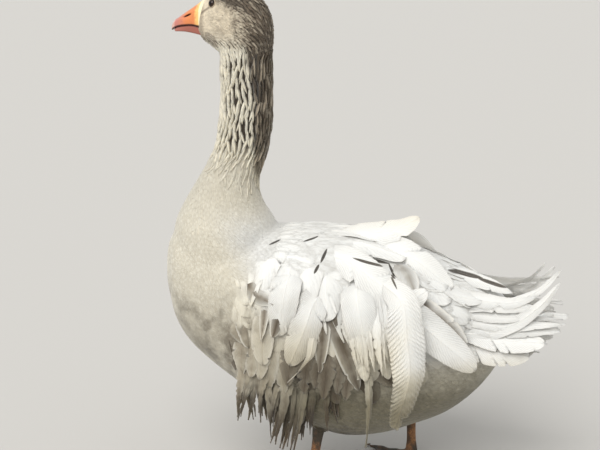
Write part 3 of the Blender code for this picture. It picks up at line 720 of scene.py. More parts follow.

# The white of back and wings, the stains of flank and breast, and the belly painted darker, part dirt and
# part painted shade
above_flank = (w.step(y, 0.035, 0.080) * w.step(z, 0.180, 0.225)).at_least(w.step(z, 0.220, 0.290))
white = w.step(y + (z - 0.30) * 0.55, -0.188, -0.120) * above_flank * w.step(z, 0.43, 0.365)
smudge = w.step(patches, 0.44, 0.66) * w.step(z, 0.275, 0.195) * w.step(y, 0.06, -0.02)
# The lower breast, darker towards the bottom: painted shade, with grime in patches
low_shade_and_grime = w.step(z + (patches - 0.5) * 0.16, 0.325, 0.222) * w.step(y, 0.02, -0.08)
# The belly, darker: part dirt and part painted shade
belly = w.step(z + wobble * 0.03, 0.225, 0.135) * w.step(y, -0.20, -0.06)
dirt = w.step(w.noise(place, 32.0, 5.0), 0.40, 0.68) * w.step(z, 0.325, 0.250) * w.step(y, -0.110, -0.180)
dust = w.step(z, 0.370, 0.450) * w.step(z, 0.530, 0.490)
# Painted shadow low under the rear of the belly
belly_bottom_shadow = w.step(z + wobble * 0.05, 0.108, 0.070) * w.step(y, 0.03, -0.03)

# Painted shade, mottled on the cheek, where it meets the bill, under the throat, and in the crease under the
# eye
shaded = w.step(w.noise(place, 82.0, 4.0), 0.42, 0.72, 0.09, 0.50) * w.step(ahead, 0.020, -0.004)
gape = w.step(ahead, 0.022, 0.031) * w.step(above, 0.002, -0.010, 0.0, 0.55)
throat = w.near_line(place, *THROAT_SHADE) * 0.55
shaded = (shaded.at_least(gape) * w.step(z, 0.640, 0.660)).at_least(throat)
crease = w.step(abs(above - (ahead * CREASE_SLOPE + CREASE_START)), 0.0036, 0.0004)
crease = crease * (w.step(ahead, 0.008, 0.012) * w.step(ahead, 0.034, 0.030))
# Painted shadows in the gaps where the wing feathers part, on the left side only
parting_shadow = w.near_line(place, *PARTING_SHADOWS[0])
for line in PARTING_SHADOWS[1:]:
    parting_shadow = parting_shadow.at_least(w.near_line(place, *line))

colour = CREAM
for share, shade in (
        (w.step(z, 0.640, 0.675) * 0.8, CHEEK_CREAM), (white, WHITE), (nape, NAPE), (shaded, CREASE_SHADE),
        (dust * 0.20, FLANK_GREY), (low_shade_and_grime * 0.42, FLANK_GREY), (dirt * 0.72, SOILED),
        (smudge * 0.75, FLANK_GREY), (belly * 0.9, BELLY_SHADE_AND_DIRT), (belly_bottom_shadow * 0.85, MUD_AND_SHADE),
        (crease * 0.75, CREASE_SHADE), (parting_shadow * w.step(x, 0.0, 0.02, 0.0, 0.95), FURROW_SHADE)):
    colour = w.blend(share, colour, shade)
w.feed(made["Colour"], colour)
w.feed(made["Nape"], nape)
print("markings:", len(markings.nodes), "nodes")

# %% [markdown]
# A feather is a shaft with barbs that slant away from it on both sides. At life size a barb is finer than a
# hair, so the barbs show as soft lines where they part. Each feather mesh carries numbers for its own
# length, breadth, underside and tint, and this group turns them into a tone and a height for the bump.

# %% The detail of a vane as one shader group
vane_detail, w, given, made = shader_group(
    "vane detail",
    {"Along": 0.0, "Across": 0.0, "Under": 0.0, "Tint": 0.5, "Place": None, "Barbs": 20.0, "Slant": 1.5,
     "Barb Tone": 0.1, "Root Tone": 0.3, "Under Tone": 0.4, "Tint Tone": 0.15},
    dict.fromkeys(("Tone", "Height", "Rim"), "NodeSocketFloat"))
reach = abs(given["Across"])
drift = w.noise(given["Place"], 160.0, 2.0) * 1.3
line = given["Along"] * given["Barbs"] + drift - reach * given["Slant"]
wave = w.maths("SINE", line * (2 * math.pi)) * 0.5 + 0.5
gaps = w.maths("POWER", 1.0 - wave, 3.0) * w.step(reach, 0.1, 0.6)
tone = 1.0 - gaps * given["Barb Tone"]
# Painted shade: the vane is darker towards its root, under the feathers over it, and on its underside
tone = tone * (1.0 - w.step(given["Along"], 0.55, 0.0) * given["Root Tone"])
tone = tone * (1.0 - given["Under"] * given["Under Tone"])
tone = tone * ((given["Tint"] - 1.0) * given["Tint Tone"] + 1.0)
shaft = w.step(reach, 0.10, 0.02)
w.feed(made["Tone"], tone)
w.feed(made["Height"], wave * 0.5 + shaft)
w.feed(made["Rim"], w.step(reach, 0.70, 0.95))
print("vane detail:", len(vane_detail.nodes), "nodes")


# %% [markdown]
# Feathers are matt and let a little light through. Those of face, body, neck, wing and flank differ in
# barbs, pale rims and muddy tips. Each finish could be wired by hand, but one function makes them all from
# the two groups.

# %% Finishes for feathers and for the skin under them
def new_material(name, roughness, **constants):
    """A material, its wiring, and the place on the bird. The constants sit on the shader's own sockets."""
    made = bpy.data.materials.new(name)
    made.use_nodes = True
    w = Wiring(made.node_tree)
    w.shader = made.node_tree.nodes["Principled BSDF"].inputs
    for label, value in {"Roughness": roughness, **constants}.items():
        w.shader[label.replace("_", " ")].default_value = value
    return made, w, w.outputs(w.node("ShaderNodeTexCoord"))["Object"]


def finish(w, colour, height, distance, strength=1.0):
    """Gives the shader its colour, and from a height its bump."""
    w.feed(w.shader["Base Color"], colour)
    bump = w.out("ShaderNodeBump", {"Height": height, "Distance": distance, "Strength": strength})
    w.feed(w.shader["Normal"], bump)


def feather_finish(name, barbs, slant=1.2, barb_tone=0.1, root_tone=0.3, under_tone=0.4, tint_tone=0.2,
                   rim=0.0, tip_mud=0.0, bump=0.0003):
    """A feather finish: the bird's markings with the vane's own tones over them."""
    made, w, place = new_material(name, 0.72, Specular_IOR_Level=0.25, Sheen_Weight=0.2,
                                  Subsurface_Weight=0.35, Subsurface_Scale=0.006,
                                  Subsurface_Radius=(1.0, 0.9, 0.8))
    keys = ("along", "across", "under", "tint", "soil")
    along, across, under, tint, soil = (w.attribute(key) for key in keys)
    marks = w.group(markings, {"Place": place})
    vane = w.group(vane_detail, {
        "Along": along, "Across": across, "Under": under, "Tint": tint, "Place": place, "Barbs": barbs,
        "Slant": slant, "Barb Tone": barb_tone, "Root Tone": root_tone, "Under Tone": under_tone,
        "Tint Tone": tint_tone})
    colour = w.blend(w.step(tint, 0.62, 0.95) * marks["Nape"] * 0.6, marks["Colour"], NAPE_PALE)
    greyed = soil.at_most(1.0)
    inner = greyed * w.step(abs(across) + along * 0.35, 1.25, 0.25, 0.15, 1.0)
    inner = inner * w.step(w.noise(place, 46.0), 0.25, 0.60, 0.6, 1.0)
    colour = w.blend(inner, colour, SOILED)
    # Soil from 1 to 2 darkens a stained feather; from 2 on, the dark is painted shade
    colour = w.blend(w.step(soil, 1.0, 2.0, 0.0, 0.55), colour, MUD_AND_SHADE)
    grey = w.out("ShaderNodeCombineColor", {0: vane["Tone"], 1: vane["Tone"], 2: vane["Tone"] * 0.99})
    colour = w.blend(1.0, colour, grey, "MULTIPLY")
    if rim:
        colour = w.blend(vane["Rim"] * (greyed * w.step(soil, 2.1, 2.0, 0.0, rim)), colour, RIM_CREAM)
    if tip_mud:
        wet = w.step(along + w.noise(place, 70.0) * 0.3, 0.66, 1.02) * tip_mud
        colour = w.blend(wet, colour, MUD_AND_SHADE)
    finish(w, colour, vane["Height"], bump)
    return made


# %% The finish of the skin, and all the feather finishes
def down_finish():
    """The skin under the feathers: its markings in the shade of the coat, with short down as bump."""
    made, w, place = new_material("down", 0.9)
    marks = w.group(markings, {"Place": place})
    z = w.height_of(place)
    on_neck = w.step(z, 0.478, 0.512) * w.step(z, 0.672, 0.640)
    shade = w.blend(0.18, marks["Colour"], (0.16, 0.14, 0.11, 1))
    # The skin of the neck, and under the grey crown and nape, is painted near black as the shade in the
    # furrows
    colour = w.blend(on_neck.at_least(marks["Nape"] * 0.9), shade, FURROW_SHADE)
    finish(w, colour, w.noise(place, 420.0, 3.0), 0.0006)
    return made


coat_finish = feather_finish("coat_feathers", barbs=5, barb_tone=0.05, root_tone=0.12, tint_tone=0.07)
face_finish = feather_finish("face_feathers", barbs=3, barb_tone=0.02, root_tone=0.08, tint_tone=0.07,
                             bump=0.00005)
ridge_finish = feather_finish("neck_feathers", barbs=5, root_tone=0.16, tint_tone=0.22)
plume_finish = feather_finish("plume_vanes", barbs=30, slant=4.0, barb_tone=0.16, root_tone=0.08,
                              under_tone=0.12, tint_tone=0.08, rim=0.6, bump=0.0004)
covert_finish = feather_finish("covert_vanes", barbs=12, slant=2.2, barb_tone=0.08, root_tone=0.06,
                               under_tone=0.12, tint_tone=0.08, rim=0.55, bump=0.0002)
lock_finish = feather_finish("flank_locks", barbs=16, slant=3.5, barb_tone=0.14, root_tone=0.06,
                             under_tone=0.30, tint_tone=0.25, tip_mud=0.95)
skin.data.materials.clear()
skin.data.materials.append(down_finish())
print("finishes:", [m.name for m in bpy.data.materials if m.users])

# %% [markdown]
# ## One feather, many places
# Thousands of small feathers could be modelled one by one, or grown as hair. Hair is lost when a model is
# exported, so each feather here is a thin closed blade. A few patterns of unit size, with different bows,
# are enough. Numbers on each root say which pattern it takes, and how wide, long and high it stands.

# %% Patterns of small feathers
def crisp_rims(data, across):
    """Keeps the shading of a vane's two faces apart, or a thin vane would be shaded like a rod."""
    at_rim = np.abs(across) > 0.999
    ends = read(data.edges, "vertices", 2, np.int32)
    data.edges.foreach_set("use_edge_sharp", at_rim[ends].all(axis=1))


SWELL_END = 0.45


def pattern_vane(name, stations, ring, bow, root_share, point, rise, crest, thick, tip_drop=0.0, crisp=True):
    """A unit feather: 1 long along Y, 1 wide along X. Its height is kept as a number too, for the lift."""
    points, kept = [], []
    for t in np.linspace(0, 1, stations):
        swell = root_share + (1 - root_share) * math.sin(math.pi / 2 * min(t / SWELL_END, 1.0))
        fall = max(t - SWELL_END, 0) / 0.55
        width = swell * ((1 - fall**2.6) ** 0.5 * (1 - point) + (1 - fall) * point if fall else 1.0)
        width = max(width, 0.10)
        for u, below in ring:
            top = -0.25 + rise * t**1.1 + crest * (1 - u * u) * (1 - 0.7 * t**3) - tip_drop * t**3
            height = top - thick * below
            points.append((u * 0.5 * width + bow * t * t, t, height))
            kept.append((t, u, below, height))
    made = object_from(name, *loft(np.array(points).reshape(stations, len(ring), 3)))
    kept = np.array(kept, float).T
    for label, values in zip(("along", "across", "under", "height"), kept):
        store(made.data, label, values)
    face_out(made.data)
    if crisp:
        crisp_rims(made.data, kept[1])
    return made


DIAMOND = ((-1, 0), (0, 0), (1, 0), (0, 1))
ARCHED = ((-1, 0), (-0.5, 0), (0, 0), (0.5, 0), (1, 0), (0, 1))


def pattern_set(name, bows, **shape):
    """A hidden collection of like patterns that differ in their bow."""
    group = bpy.data.collections.new(name)
    for number, bow in enumerate(bows):
        vane = pattern_vane(f"{name}_{number}", bow=bow, **shape)
        bpy.context.scene.collection.objects.unlink(vane)
        group.objects.link(vane)
    return group


face_patterns = pattern_set("face_pattern", (-0.10, 0.0, 0.10), stations=4, ring=DIAMOND, root_share=0.5,
                            point=0.4, rise=0.9, crest=0.3, thick=0.28)
soft_patterns = pattern_set("soft_pattern", (-0.14, -0.04, 0.05, 0.15), stations=6, ring=ARCHED,
                            root_share=0.45, point=0.25, rise=1.25, crest=0.40, thick=0.5, tip_drop=1.05)
ridge_patterns = pattern_set("ridge_pattern", (-0.08, 0.0, 0.08), stations=6, ring=ARCHED, root_share=0.45,
                             point=0.75, rise=0.55, crest=0.85, thick=0.8, crisp=False)

# %% [markdown]
# The patterns are set out by Geometry Nodes. Particles could do it too, but they can't bend a feather. Each
# root takes a pattern, turns it to lie along the coat and realizes it. Then every point is moved to the skin
# under it and lifted by its own height, so a feather bends round the neck or the breast instead of sticking
# out from it.

# %% The tree that lays feathers on the skin
def feather_tree():
    tree = bpy.data.node_groups.new("Feathers on skin", "GeometryNodeTree")
    tree.is_modifier = True
    for label, kind in (("Roots", "Geometry"), ("Patterns", "Collection"), ("Skin", "Object"),
                        ("Finish", "Material"), ("Loose Degrees", "Float"), ("Seed", "Int")):
        tree.interface.new_socket(label, in_out="INPUT", socket_type="NodeSocket" + kind)
    tree.interface.new_socket("Feathers", in_out="OUTPUT", socket_type="NodeSocketGeometry")
    w = Wiring(tree)
    given = w.outputs(w.node("NodeGroupInput"))

    def stored(name, kind="FLOAT_VECTOR"):
        return w.out("GeometryNodeInputNamedAttribute", {"Name": name}, "Attribute", data_type=kind)

    roots = w.out("GeometryNodeMeshToPoints", {"Mesh": given["Roots"]})
    turn = w.out("FunctionNodeAxesToRotation",
                 {"Primary Axis": stored("face"), "Secondary Axis": stored("lie")},
                 primary_axis="Z", secondary_axis="Y")
    swing = w.out("FunctionNodeRandomValue", {2: -1.0, 3: 1.0, "Seed": given["Seed"]}, 1, data_type="FLOAT")
    swing = w.maths("RADIANS", swing * given["Loose Degrees"])
    swing = w.out("FunctionNodeEulerToRotation", {0: w.out("ShaderNodeCombineXYZ", {2: swing})})
    turn = w.out("FunctionNodeRotateRotation", {0: turn, 1: swing}, rotation_space="LOCAL")
    patterns = w.out("GeometryNodeCollectionInfo", {0: given["Patterns"], 1: True, 2: True})
    planted = w.out("GeometryNodeInstanceOnPoints",
                    {"Points": roots, "Instance": patterns, "Pick Instance": True,
                     "Instance Index": stored("pick", "INT"), "Rotation": turn, "Scale": stored("size")})
    real = w.out("GeometryNodeRealizeInstances", {0: planted})

    surface = w.out("GeometryNodeObjectInfo", {0: given["Skin"]}, "Geometry")
    nearest = w.out("GeometryNodeProximity", {0: surface}, "Position", target_element="FACES")
    outward = w.out("GeometryNodeSampleNearestSurface", {0: surface, 1: w.out("GeometryNodeInputNormal")},
                    data_type="FLOAT_VECTOR")
    lift = w.height_of(stored("size")) * stored("height", "FLOAT")
    hugging = w.vector("ADD", nearest, w.vector("SCALE", outward, lift))
    moved = w.out("GeometryNodeSetPosition", {0: real, "Position": hugging})
    finished = w.out("GeometryNodeSetMaterial", {0: moved, "Material": given["Finish"]})
    w.feed(w.node("NodeGroupOutput").inputs[0], w.out("GeometryNodeSetShadeSmooth", {0: finished}))
    return tree


feathers_on_skin = feather_tree()
print("feather tree:", len(feathers_on_skin.nodes), "nodes")


# %% Grow a piece of the coat
def set_inputs(modifier, **values):
    """Sets a modifier's inputs by the identifiers of their sockets."""
    sockets = {item.name.replace(" ", "_").lower(): item.identifier
               for item in modifier.node_group.interface.items_tree
               if item.item_type == "SOCKET" and item.in_out == "INPUT"}
    for key, value in values.items():
        modifier[sockets[key]] = value


TUFT_PATCH = 0.003


def bake_map(data, spots):
    """Writes the map from which a baked picture of the piece would be read."""
    corners = read(data.loops, "vertex_index", kind=np.int32)
    layer = data.uv_layers.new(name="OFBake")
    layer.data.foreach_set("uv", np.clip(spots, 0, 1)[corners].astype(np.float32).ravel())


def numbers(data, name):
    return read(data.attributes[name].data, "value")


def grow(name, roots, lies, faces, sizes, patterns, finish, loose, seed):
    """Plants a coat piece on the skin and returns it as a plain mesh."""
    count = len(roots)
    plan = bpy.data.meshes.new(name + "_roots")
    plan.from_pydata([tuple(p) for p in roots], [], [])
    spots = np.column_stack((unwrapped(roots), np.zeros(count)))
    for label, values in (("lie", lies), ("face", faces), ("size", sizes), ("root", spots)):
        store(plan, label, values, "FLOAT_VECTOR")
    store(plan, "tint", rng.random(count))
    store(plan, "pick", rng.integers(0, len(patterns.objects), count), "INT")
    bed = linked(name, plan)
    planting = bed.modifiers.new("feathers", "NODES")
    planting.node_group = feathers_on_skin
    set_inputs(planting, patterns=patterns, skin=skin, finish=finish, loose_degrees=loose, seed=seed)
    made = settled(bed, name)
    data = made.data
    local = np.stack((numbers(data, "across") * 0.5, numbers(data, "along") - 0.5), axis=1) * TUFT_PATCH
    bake_map(data, read(data.attributes["root"].data, "vector", 3)[:, :2] + local)
    for label in ("lie", "face", "size", "root", "pick", "height"):
        data.attributes.remove(data.attributes[label])
    data.calc_loop_triangles()
    print(f"{name}: {count} feathers, {len(data.loop_triangles)} triangles")
    return made


# %% [markdown]
# ## The small feathers
# They are smallest on the face, a few millimetres long, and grow down the neck and over the body. Roots are
# picked at random from places on the skin, but never closer than a gap that suits the size, which is how
# real feathers are spread. A regular grid would be simpler, but its rows would show. Each region is a piece
# of its own.

# %% Help for a region of small feathers
def region(inside, gap):
    """Roots in a part of the skin, at least a gap apart, with the way the skin faces and the coat lies."""
    rows = np.flatnonzero(inside)
    rows = rows[spaced(samples[rows], np.broadcast_to(gap, len(samples))[rows])]
    roots, facing = samples[rows], facings[rows]
    return roots, lie_at(roots, facing), facing


def sizes_for(count, wide, long, high, vary=0.15):
    """Width, length and height for each feather, with a little variation."""
    base = np.stack([np.broadcast_to(value, count) for value in (wide, long, high)], axis=1)
    return base * (1 + vary * rng.uniform(-1, 1, (count, 3)))


px, py, pz = samples.T
head_ahead, _, head_above = head_place(samples)
opening = np.full(len(samples), 9.0)
for side in (1, -1):
    away, reach, span = at_eye(samples, side)
    near = (reach < 0.014) & (away @ eye_axes(side)[1] > 0)
    opening = np.where(near, np.minimum(opening, span), opening)
print("places close to the eyes:", int((opening < 9.0).sum()))

# %% Feathers of the face, crown and cheeks
BILL_EDGE = 0.0290


def coarse_at(ahead, height):
    """How coarse the head's feathers are: 0 on the face and 1 at the nape and throat."""
    return np.clip(ease(-ahead, 0.026, 0.056) + ease(0.672 - height, 0.0, 0.02), 0, 1)


on_face = (pz > 0.640) & (head_ahead < BILL_EDGE + 0.010 * ease(-head_above, 0.004, 0.026)) & (opening > 1.6)
coarse = coarse_at(head_ahead, pz)
roots, lies, facing = region(on_face & (head_ahead > -0.085), 0.0023 + 0.0016 * coarse)
ahead = head_place(roots)[0]
size = sizes_for(len(roots), 0.0029, 0.0066, 0.00028)
size *= (1 - 0.35 * ease(ahead, 0.012, 0.026))[:, None]
size *= 1 + coarse_at(ahead, roots[:, 2])[:, None] * np.array((0.20, 1.3, 10.0))
coat_head = grow("coat_head", roots, lies, facing, size, face_patterns, face_finish, loose=5.0, seed=3)

# %% [markdown]
# The neck of a goose is furrowed. Its feathers stand together in ridges that run down the neck and wander,
# and the skin in the gaps is painted near black as the shade in the furrows. Furrows in the bump alone would
# vanish at the outline. So the ridges are set out in columns, wide at the front and sides and narrow on the
# nape, and each is a line of long arched feathers that overlap.

# %% Feathers of the neck in ridges
RIDGE_TOP, RIDGE_END = 0.656, 0.466
FRONT_PITCH, NAPE_PITCH = 0.0076, 0.0054
NAPE_ANGLE = 2.05
RIDGE_STEP = 0.0085
NECK_RADIUS = 0.0345


def neck_place(heights, angles):
    """Places on the skin of the neck. The angle is 0 at the throat and half a turn at the nape."""
    y, deep, half = rows_at(NECK, heights).T
    across = signed_power(np.sin(angles), 2 / NECK_ROUNDNESS) * (half - COAT_ON_NECK)
    along = -signed_power(np.cos(angles), 2 / NECK_ROUNDNESS) * (deep - COAT_ON_NECK)
    return np.stack((across, y + along, heights), axis=1)


def ridge_columns():
    """The angle and breadth of each ridge round the neck."""
    columns, angle = [], -math.pi
    while angle < math.pi - 0.05:
        pitch = (FRONT_PITCH if abs(angle) < NAPE_ANGLE else NAPE_PITCH) / NECK_RADIUS
        columns.append((angle + pitch / 2, pitch * NECK_RADIUS))
        angle += pitch
    return columns


roots, lies, facing, size = [], [], [], []
phase, second_phase = 0.0, 0.0
for angle, pitch in ridge_columns():
    phase += rng.uniform(-1.3, 1.3)
    second_phase += rng.uniform(-1.6, 1.6)
    end = RIDGE_END + 0.035 * math.cos(angle / 2) ** 4
    heights = np.arange(RIDGE_TOP, end - 0.012 * rng.random(), -RIDGE_STEP) - rng.random() * RIDGE_STEP
    swing = 0.34 * pitch / NECK_RADIUS
    here, below = (neck_place(z, angle + (swing * np.sin(2 * math.pi * z / 0.066 + phase)
                                          + 0.50 * swing * np.sin(2 * math.pi * z / 0.025 + second_phase)))
                   for z in (heights, heights - 0.012))
    out = np.stack((np.full(len(heights), math.sin(angle)), np.full(len(heights), -math.cos(angle)),
                    0 * heights), 1)
    fade = ease(heights, end, end + 0.045) * ease(-heights, -RIDGE_TOP - 0.004, -RIDGE_TOP + 0.02)
    roots.append(here)
    lies.append(unit(below - here))
    facing.append(out)
    crest = 0.0074 if abs(angle) > NAPE_ANGLE else 0.0060
    size.append(sizes_for(len(heights), pitch * 0.74, 0.024, crest, 0.22))
    size[-1][:, 2] *= 0.28 + 0.72 * fade
roots, lies, facing, size = (np.concatenate(rows) for rows in (roots, lies, facing, size))
coat_neck = grow("coat_neck", roots, lies, facing, size, ridge_patterns, ridge_finish, loose=3.5, seed=5)

# %% [markdown]
# The breast has small close feathers that look like one soft surface, and those of the belly and back are
# larger and looser. One gap for all would be too coarse in front, so each region has its own gap and sizes.

# %% Feathers of the breast
in_body = (pz < 0.498) & (pz > 0.055)
on_breast = in_body & (py < -0.150 + 0.25 * np.maximum(pz - 0.30, 0)) & (pz > 0.200)
on_breast |= in_body & (pz > 0.385)
roots, lies, facing = region(on_breast, 0.0050)
large = ease(-roots[:, 2], -0.44, -0.26)
size = sizes_for(len(roots), 0.0085 + 0.0055 * large, 0.0150 + 0.0120 * large, 0.0005 + 0.0005 * large)
coat_breast = grow("coat_breast", roots, lies, facing, size, soft_patterns, coat_finish, loose=6.0, seed=7)

# %% Feathers of the belly and thighs
on_belly = in_body & ~on_breast & (pz < 0.245)
bare_leg = np.zeros(len(samples), bool)
for _, side, ankle_y, _ in LEGS:
    bare_leg |= (pz < 0.082) & (np.hypot(px - FOOT_HALF_TRACK * side, py - ankle_y) < 0.022)
roots, lies, facing = region(on_belly & ~bare_leg, 0.0076)
size = sizes_for(len(roots), 0.0150, 0.0300, 0.0015)
size *= (1 - 0.35 * ease(-roots[:, 2], -0.105, -0.080))[:, None]
coat_belly = grow("coat_belly", roots, lies, facing, size, soft_patterns, coat_finish, loose=12.0, seed=9)

# %% Feathers of the back, shoulders and wings
on_back = in_body & ~on_breast & ~on_belly & (pz < 0.40)
roots, lies, facing = region(on_back, 0.0088)
behind = ease(roots[:, 1], -0.16, -0.04)
size = sizes_for(len(roots), 0.019 + 0.007 * behind, 0.032 + 0.018 * behind, 0.0018 + 0.0010 * behind, 0.2)
coat_back = grow("coat_back", roots, lies, facing, size, soft_patterns, coat_finish, loose=14.0, seed=11)

# %% [markdown]
# ## The long plumes
# These are what make the breed. Each plume is a soft vane on a thin shaft that has lost its stiffness, so it
# hangs, twists and curls, and its barbs part in notches. A flat card would not shade like that. Each one is
# lofted by itself: rows of points that run the way the barbs run, forward from the shaft, so that a notch in
# the outline is cut along the barbs.

# %% A plume as a closed blade
BLADE_COLUMNS = np.array((-1, -0.84, -0.60, -0.32, -0.07, 0, 0.07, 0.32, 0.60, 0.84, 1.0))
SLENDER_COLUMNS = np.array((-1, -0.55, -0.12, 0.12, 0.55, 1.0))
BARB_SLANT = 0.85
SHAFT_RISE = 0.0007
SHOULDER = 0.42


def vane_width(t, root_share, point):
    """The width of a plume at share t of its length, as a share of its greatest width."""
    rise = root_share + (1 - root_share) * np.sin(math.pi / 2 * np.clip(t / SHOULDER, 0, 1))
    fall = np.clip((t - SHOULDER) / (1 - SHOULDER), 0, 1)
    return rise * ((1 - point) * np.sqrt(np.maximum(1 - fall**2.6, 0)) + point * (1 - fall))


def ragged(distance, rng, wavelength):
    """A saw-toothed edge from 0 to 1: barbs cling together, then part."""
    stretch = distance / wavelength + 0.6 * np.sin(distance / wavelength * 1.7 + rng.uniform(0, 6))
    return (stretch + rng.random()) % 1.0


def blade(path, width, face, root_share, point, rng, twist=0.0, cup=0.16, wave=0.0018, fray=0.035, splits=1,
          comb=0.0, soil=0.0, row_step=0.0023, shaft=1.0, tint=None, u=BLADE_COLUMNS):
    """One plume along a path. face is the way that the vane faces."""
    path = np.array(path, float)
    chord = np.concatenate(([0], np.cumsum(np.linalg.norm(np.diff(path, axis=0), axis=1))))
    table = np.column_stack((chord, path))
    length = chord[-1]
    rows = max(int(length / row_step), 10)
    t = np.linspace(0, 1, rows)
    count = len(u)
    half = np.maximum(width / 2 * vane_width(t, root_share, point), 0.0010)
    reach = np.ones((rows, 2))
    lift = np.zeros((rows, 2))
    for edge in (0, 1):
        reach[:, edge] -= fray * ragged(t * length, rng, 0.0125 + 0.006 * rng.random()) * ease(t, 0.1, 0.3)
        reach[:, edge] -= 0.35 * fray * ragged(t * length, rng, 0.0047)
        for _ in range(splits):
            start = rng.uniform(0.35, 0.93)
            span = rng.uniform(0.02, 0.05)
            inside = (t > start) & (t < start + span)
            reach[:, edge] -= np.where(inside, rng.uniform(0.25, 0.5) * (1 - (t - start) / span), 0)
            lift[:, edge] += np.where(t > start, 0.0016 * rng.uniform(-1, 1) * np.exp(-(t - start) / 0.16), 0)
        phase = rng.uniform(0, 6)
        lift[:, edge] += wave * np.sin(t * length / 0.021 + phase) * ease(t, 0.15, 0.5)
        lift[:, edge] += 0.4 * wave * np.sin(t * length / 0.0075 + 2 * phase)
        lift[:, edge] += comb * np.sin(t * length / 0.0011) * ease(t, 0.1, 0.3)
    side_of = (u > 0).astype(int)
    distance = np.clip(t[:, None] * length - BARB_SLANT * half[:, None] * (1 - np.abs(u)), 0, length)
    flat = distance.ravel()
    centre = rows_at(table, flat).reshape(rows, count, 3)
    heading = unit(rows_at(table, flat + 0.003) - rows_at(table, flat - 0.003)).reshape(rows, count, 3)
    across = unit(np.cross(heading, unit(np.array(face, float))))
    out = np.cross(across, heading)
    turn = (twist * (distance / length) ** 2)[..., None]
    across, out = across * np.cos(turn) + out * np.sin(turn), out * np.cos(turn) - across * np.sin(turn)
    spread = np.abs(u)
    across_by = u * half[:, None] * np.clip(reach[:, side_of], 0.12, 1)
    out_by = -cup * half[:, None] * spread**1.6 + lift[:, side_of] * spread**1.5
    top = centre + across * across_by[..., None] + out * out_by[..., None]
    rib = SHAFT_RISE * shaft * np.exp(-((u / 0.06) ** 2)) * (1 - 0.6 * t[:, None])
    depth = 0.00030 + 0.00055 * (1 - spread)
    bottom = (top - out * depth[:, None])[:, -2:0:-1]
    top = top + out * rib[..., None]
    ring = np.concatenate((top, bottom), axis=1)
    ring_u = np.concatenate((u, u[-2:0:-1]))
    ring_under = np.concatenate((np.zeros(count), np.ones(count - 2)))
    around = len(ring_u)
    points, faces = loft(ring)
    tint = rng.random() if tint is None else tint
    kept = {"along": np.repeat(t, around), "across": np.tile(ring_u, rows),
            "under": np.tile(ring_under, rows), "tint": np.full(rows * around, tint),
            "soil": np.full(rows * around, float(soil))}
    return points, faces, around, count, kept


# %% Many plumes as one piece
def assembled(name, blades, finish):
    """Joins blades to one mesh, and gives each its own strip of the bake map."""
    columns = math.ceil(math.sqrt(len(blades) * 2))
    lines = math.ceil(len(blades) / columns)
    faces, spots, used = [], [], 0
    for number, (points, own_faces, around, top_columns, kept) in enumerate(blades):
        left, low = (number % columns) / columns, (number // columns) / lines
        for face in own_faces:
            corners = np.array(face)
            below = len(face) == 4 and (face[0] % around) >= top_columns - 1
            shift = (kept["across"][corners] + 1) / 2 * 0.44
            shift = 0.97 - shift if below else 0.03 + shift
            spots.append(np.column_stack((left + shift / columns,
                                          low + (0.02 + 0.96 * kept["along"][corners]) / lines)))
            faces.append(tuple(int(i) + used for i in face))
        used += len(points)
    made = object_from(name, np.concatenate([points for points, *_ in blades]), faces)
    data = made.data
    data.shade_smooth()
    for key in blades[0][-1]:
        store(data, key, np.concatenate([kept[key] for *_, kept in blades]))
    layer = data.uv_layers.new(name="OFBake")
    layer.data.foreach_set("uv", np.concatenate(spots).astype(np.float32).ravel())
    face_out(data)
    crisp_rims(data, numbers(data, "across"))
    data.materials.append(finish)
    data.calc_loop_triangles()
    print(f"{name}: {len(blades)} plumes, {len(data.loop_triangles)} triangles")
    return made


# %% [markdown]
# The shafts of the largest plumes follow the solid model. A rule could scatter them, but they make the
# outline. The left side is the one that shows, and the right side's plumes are moved a little, because no two
# sides of a bird lie alike.

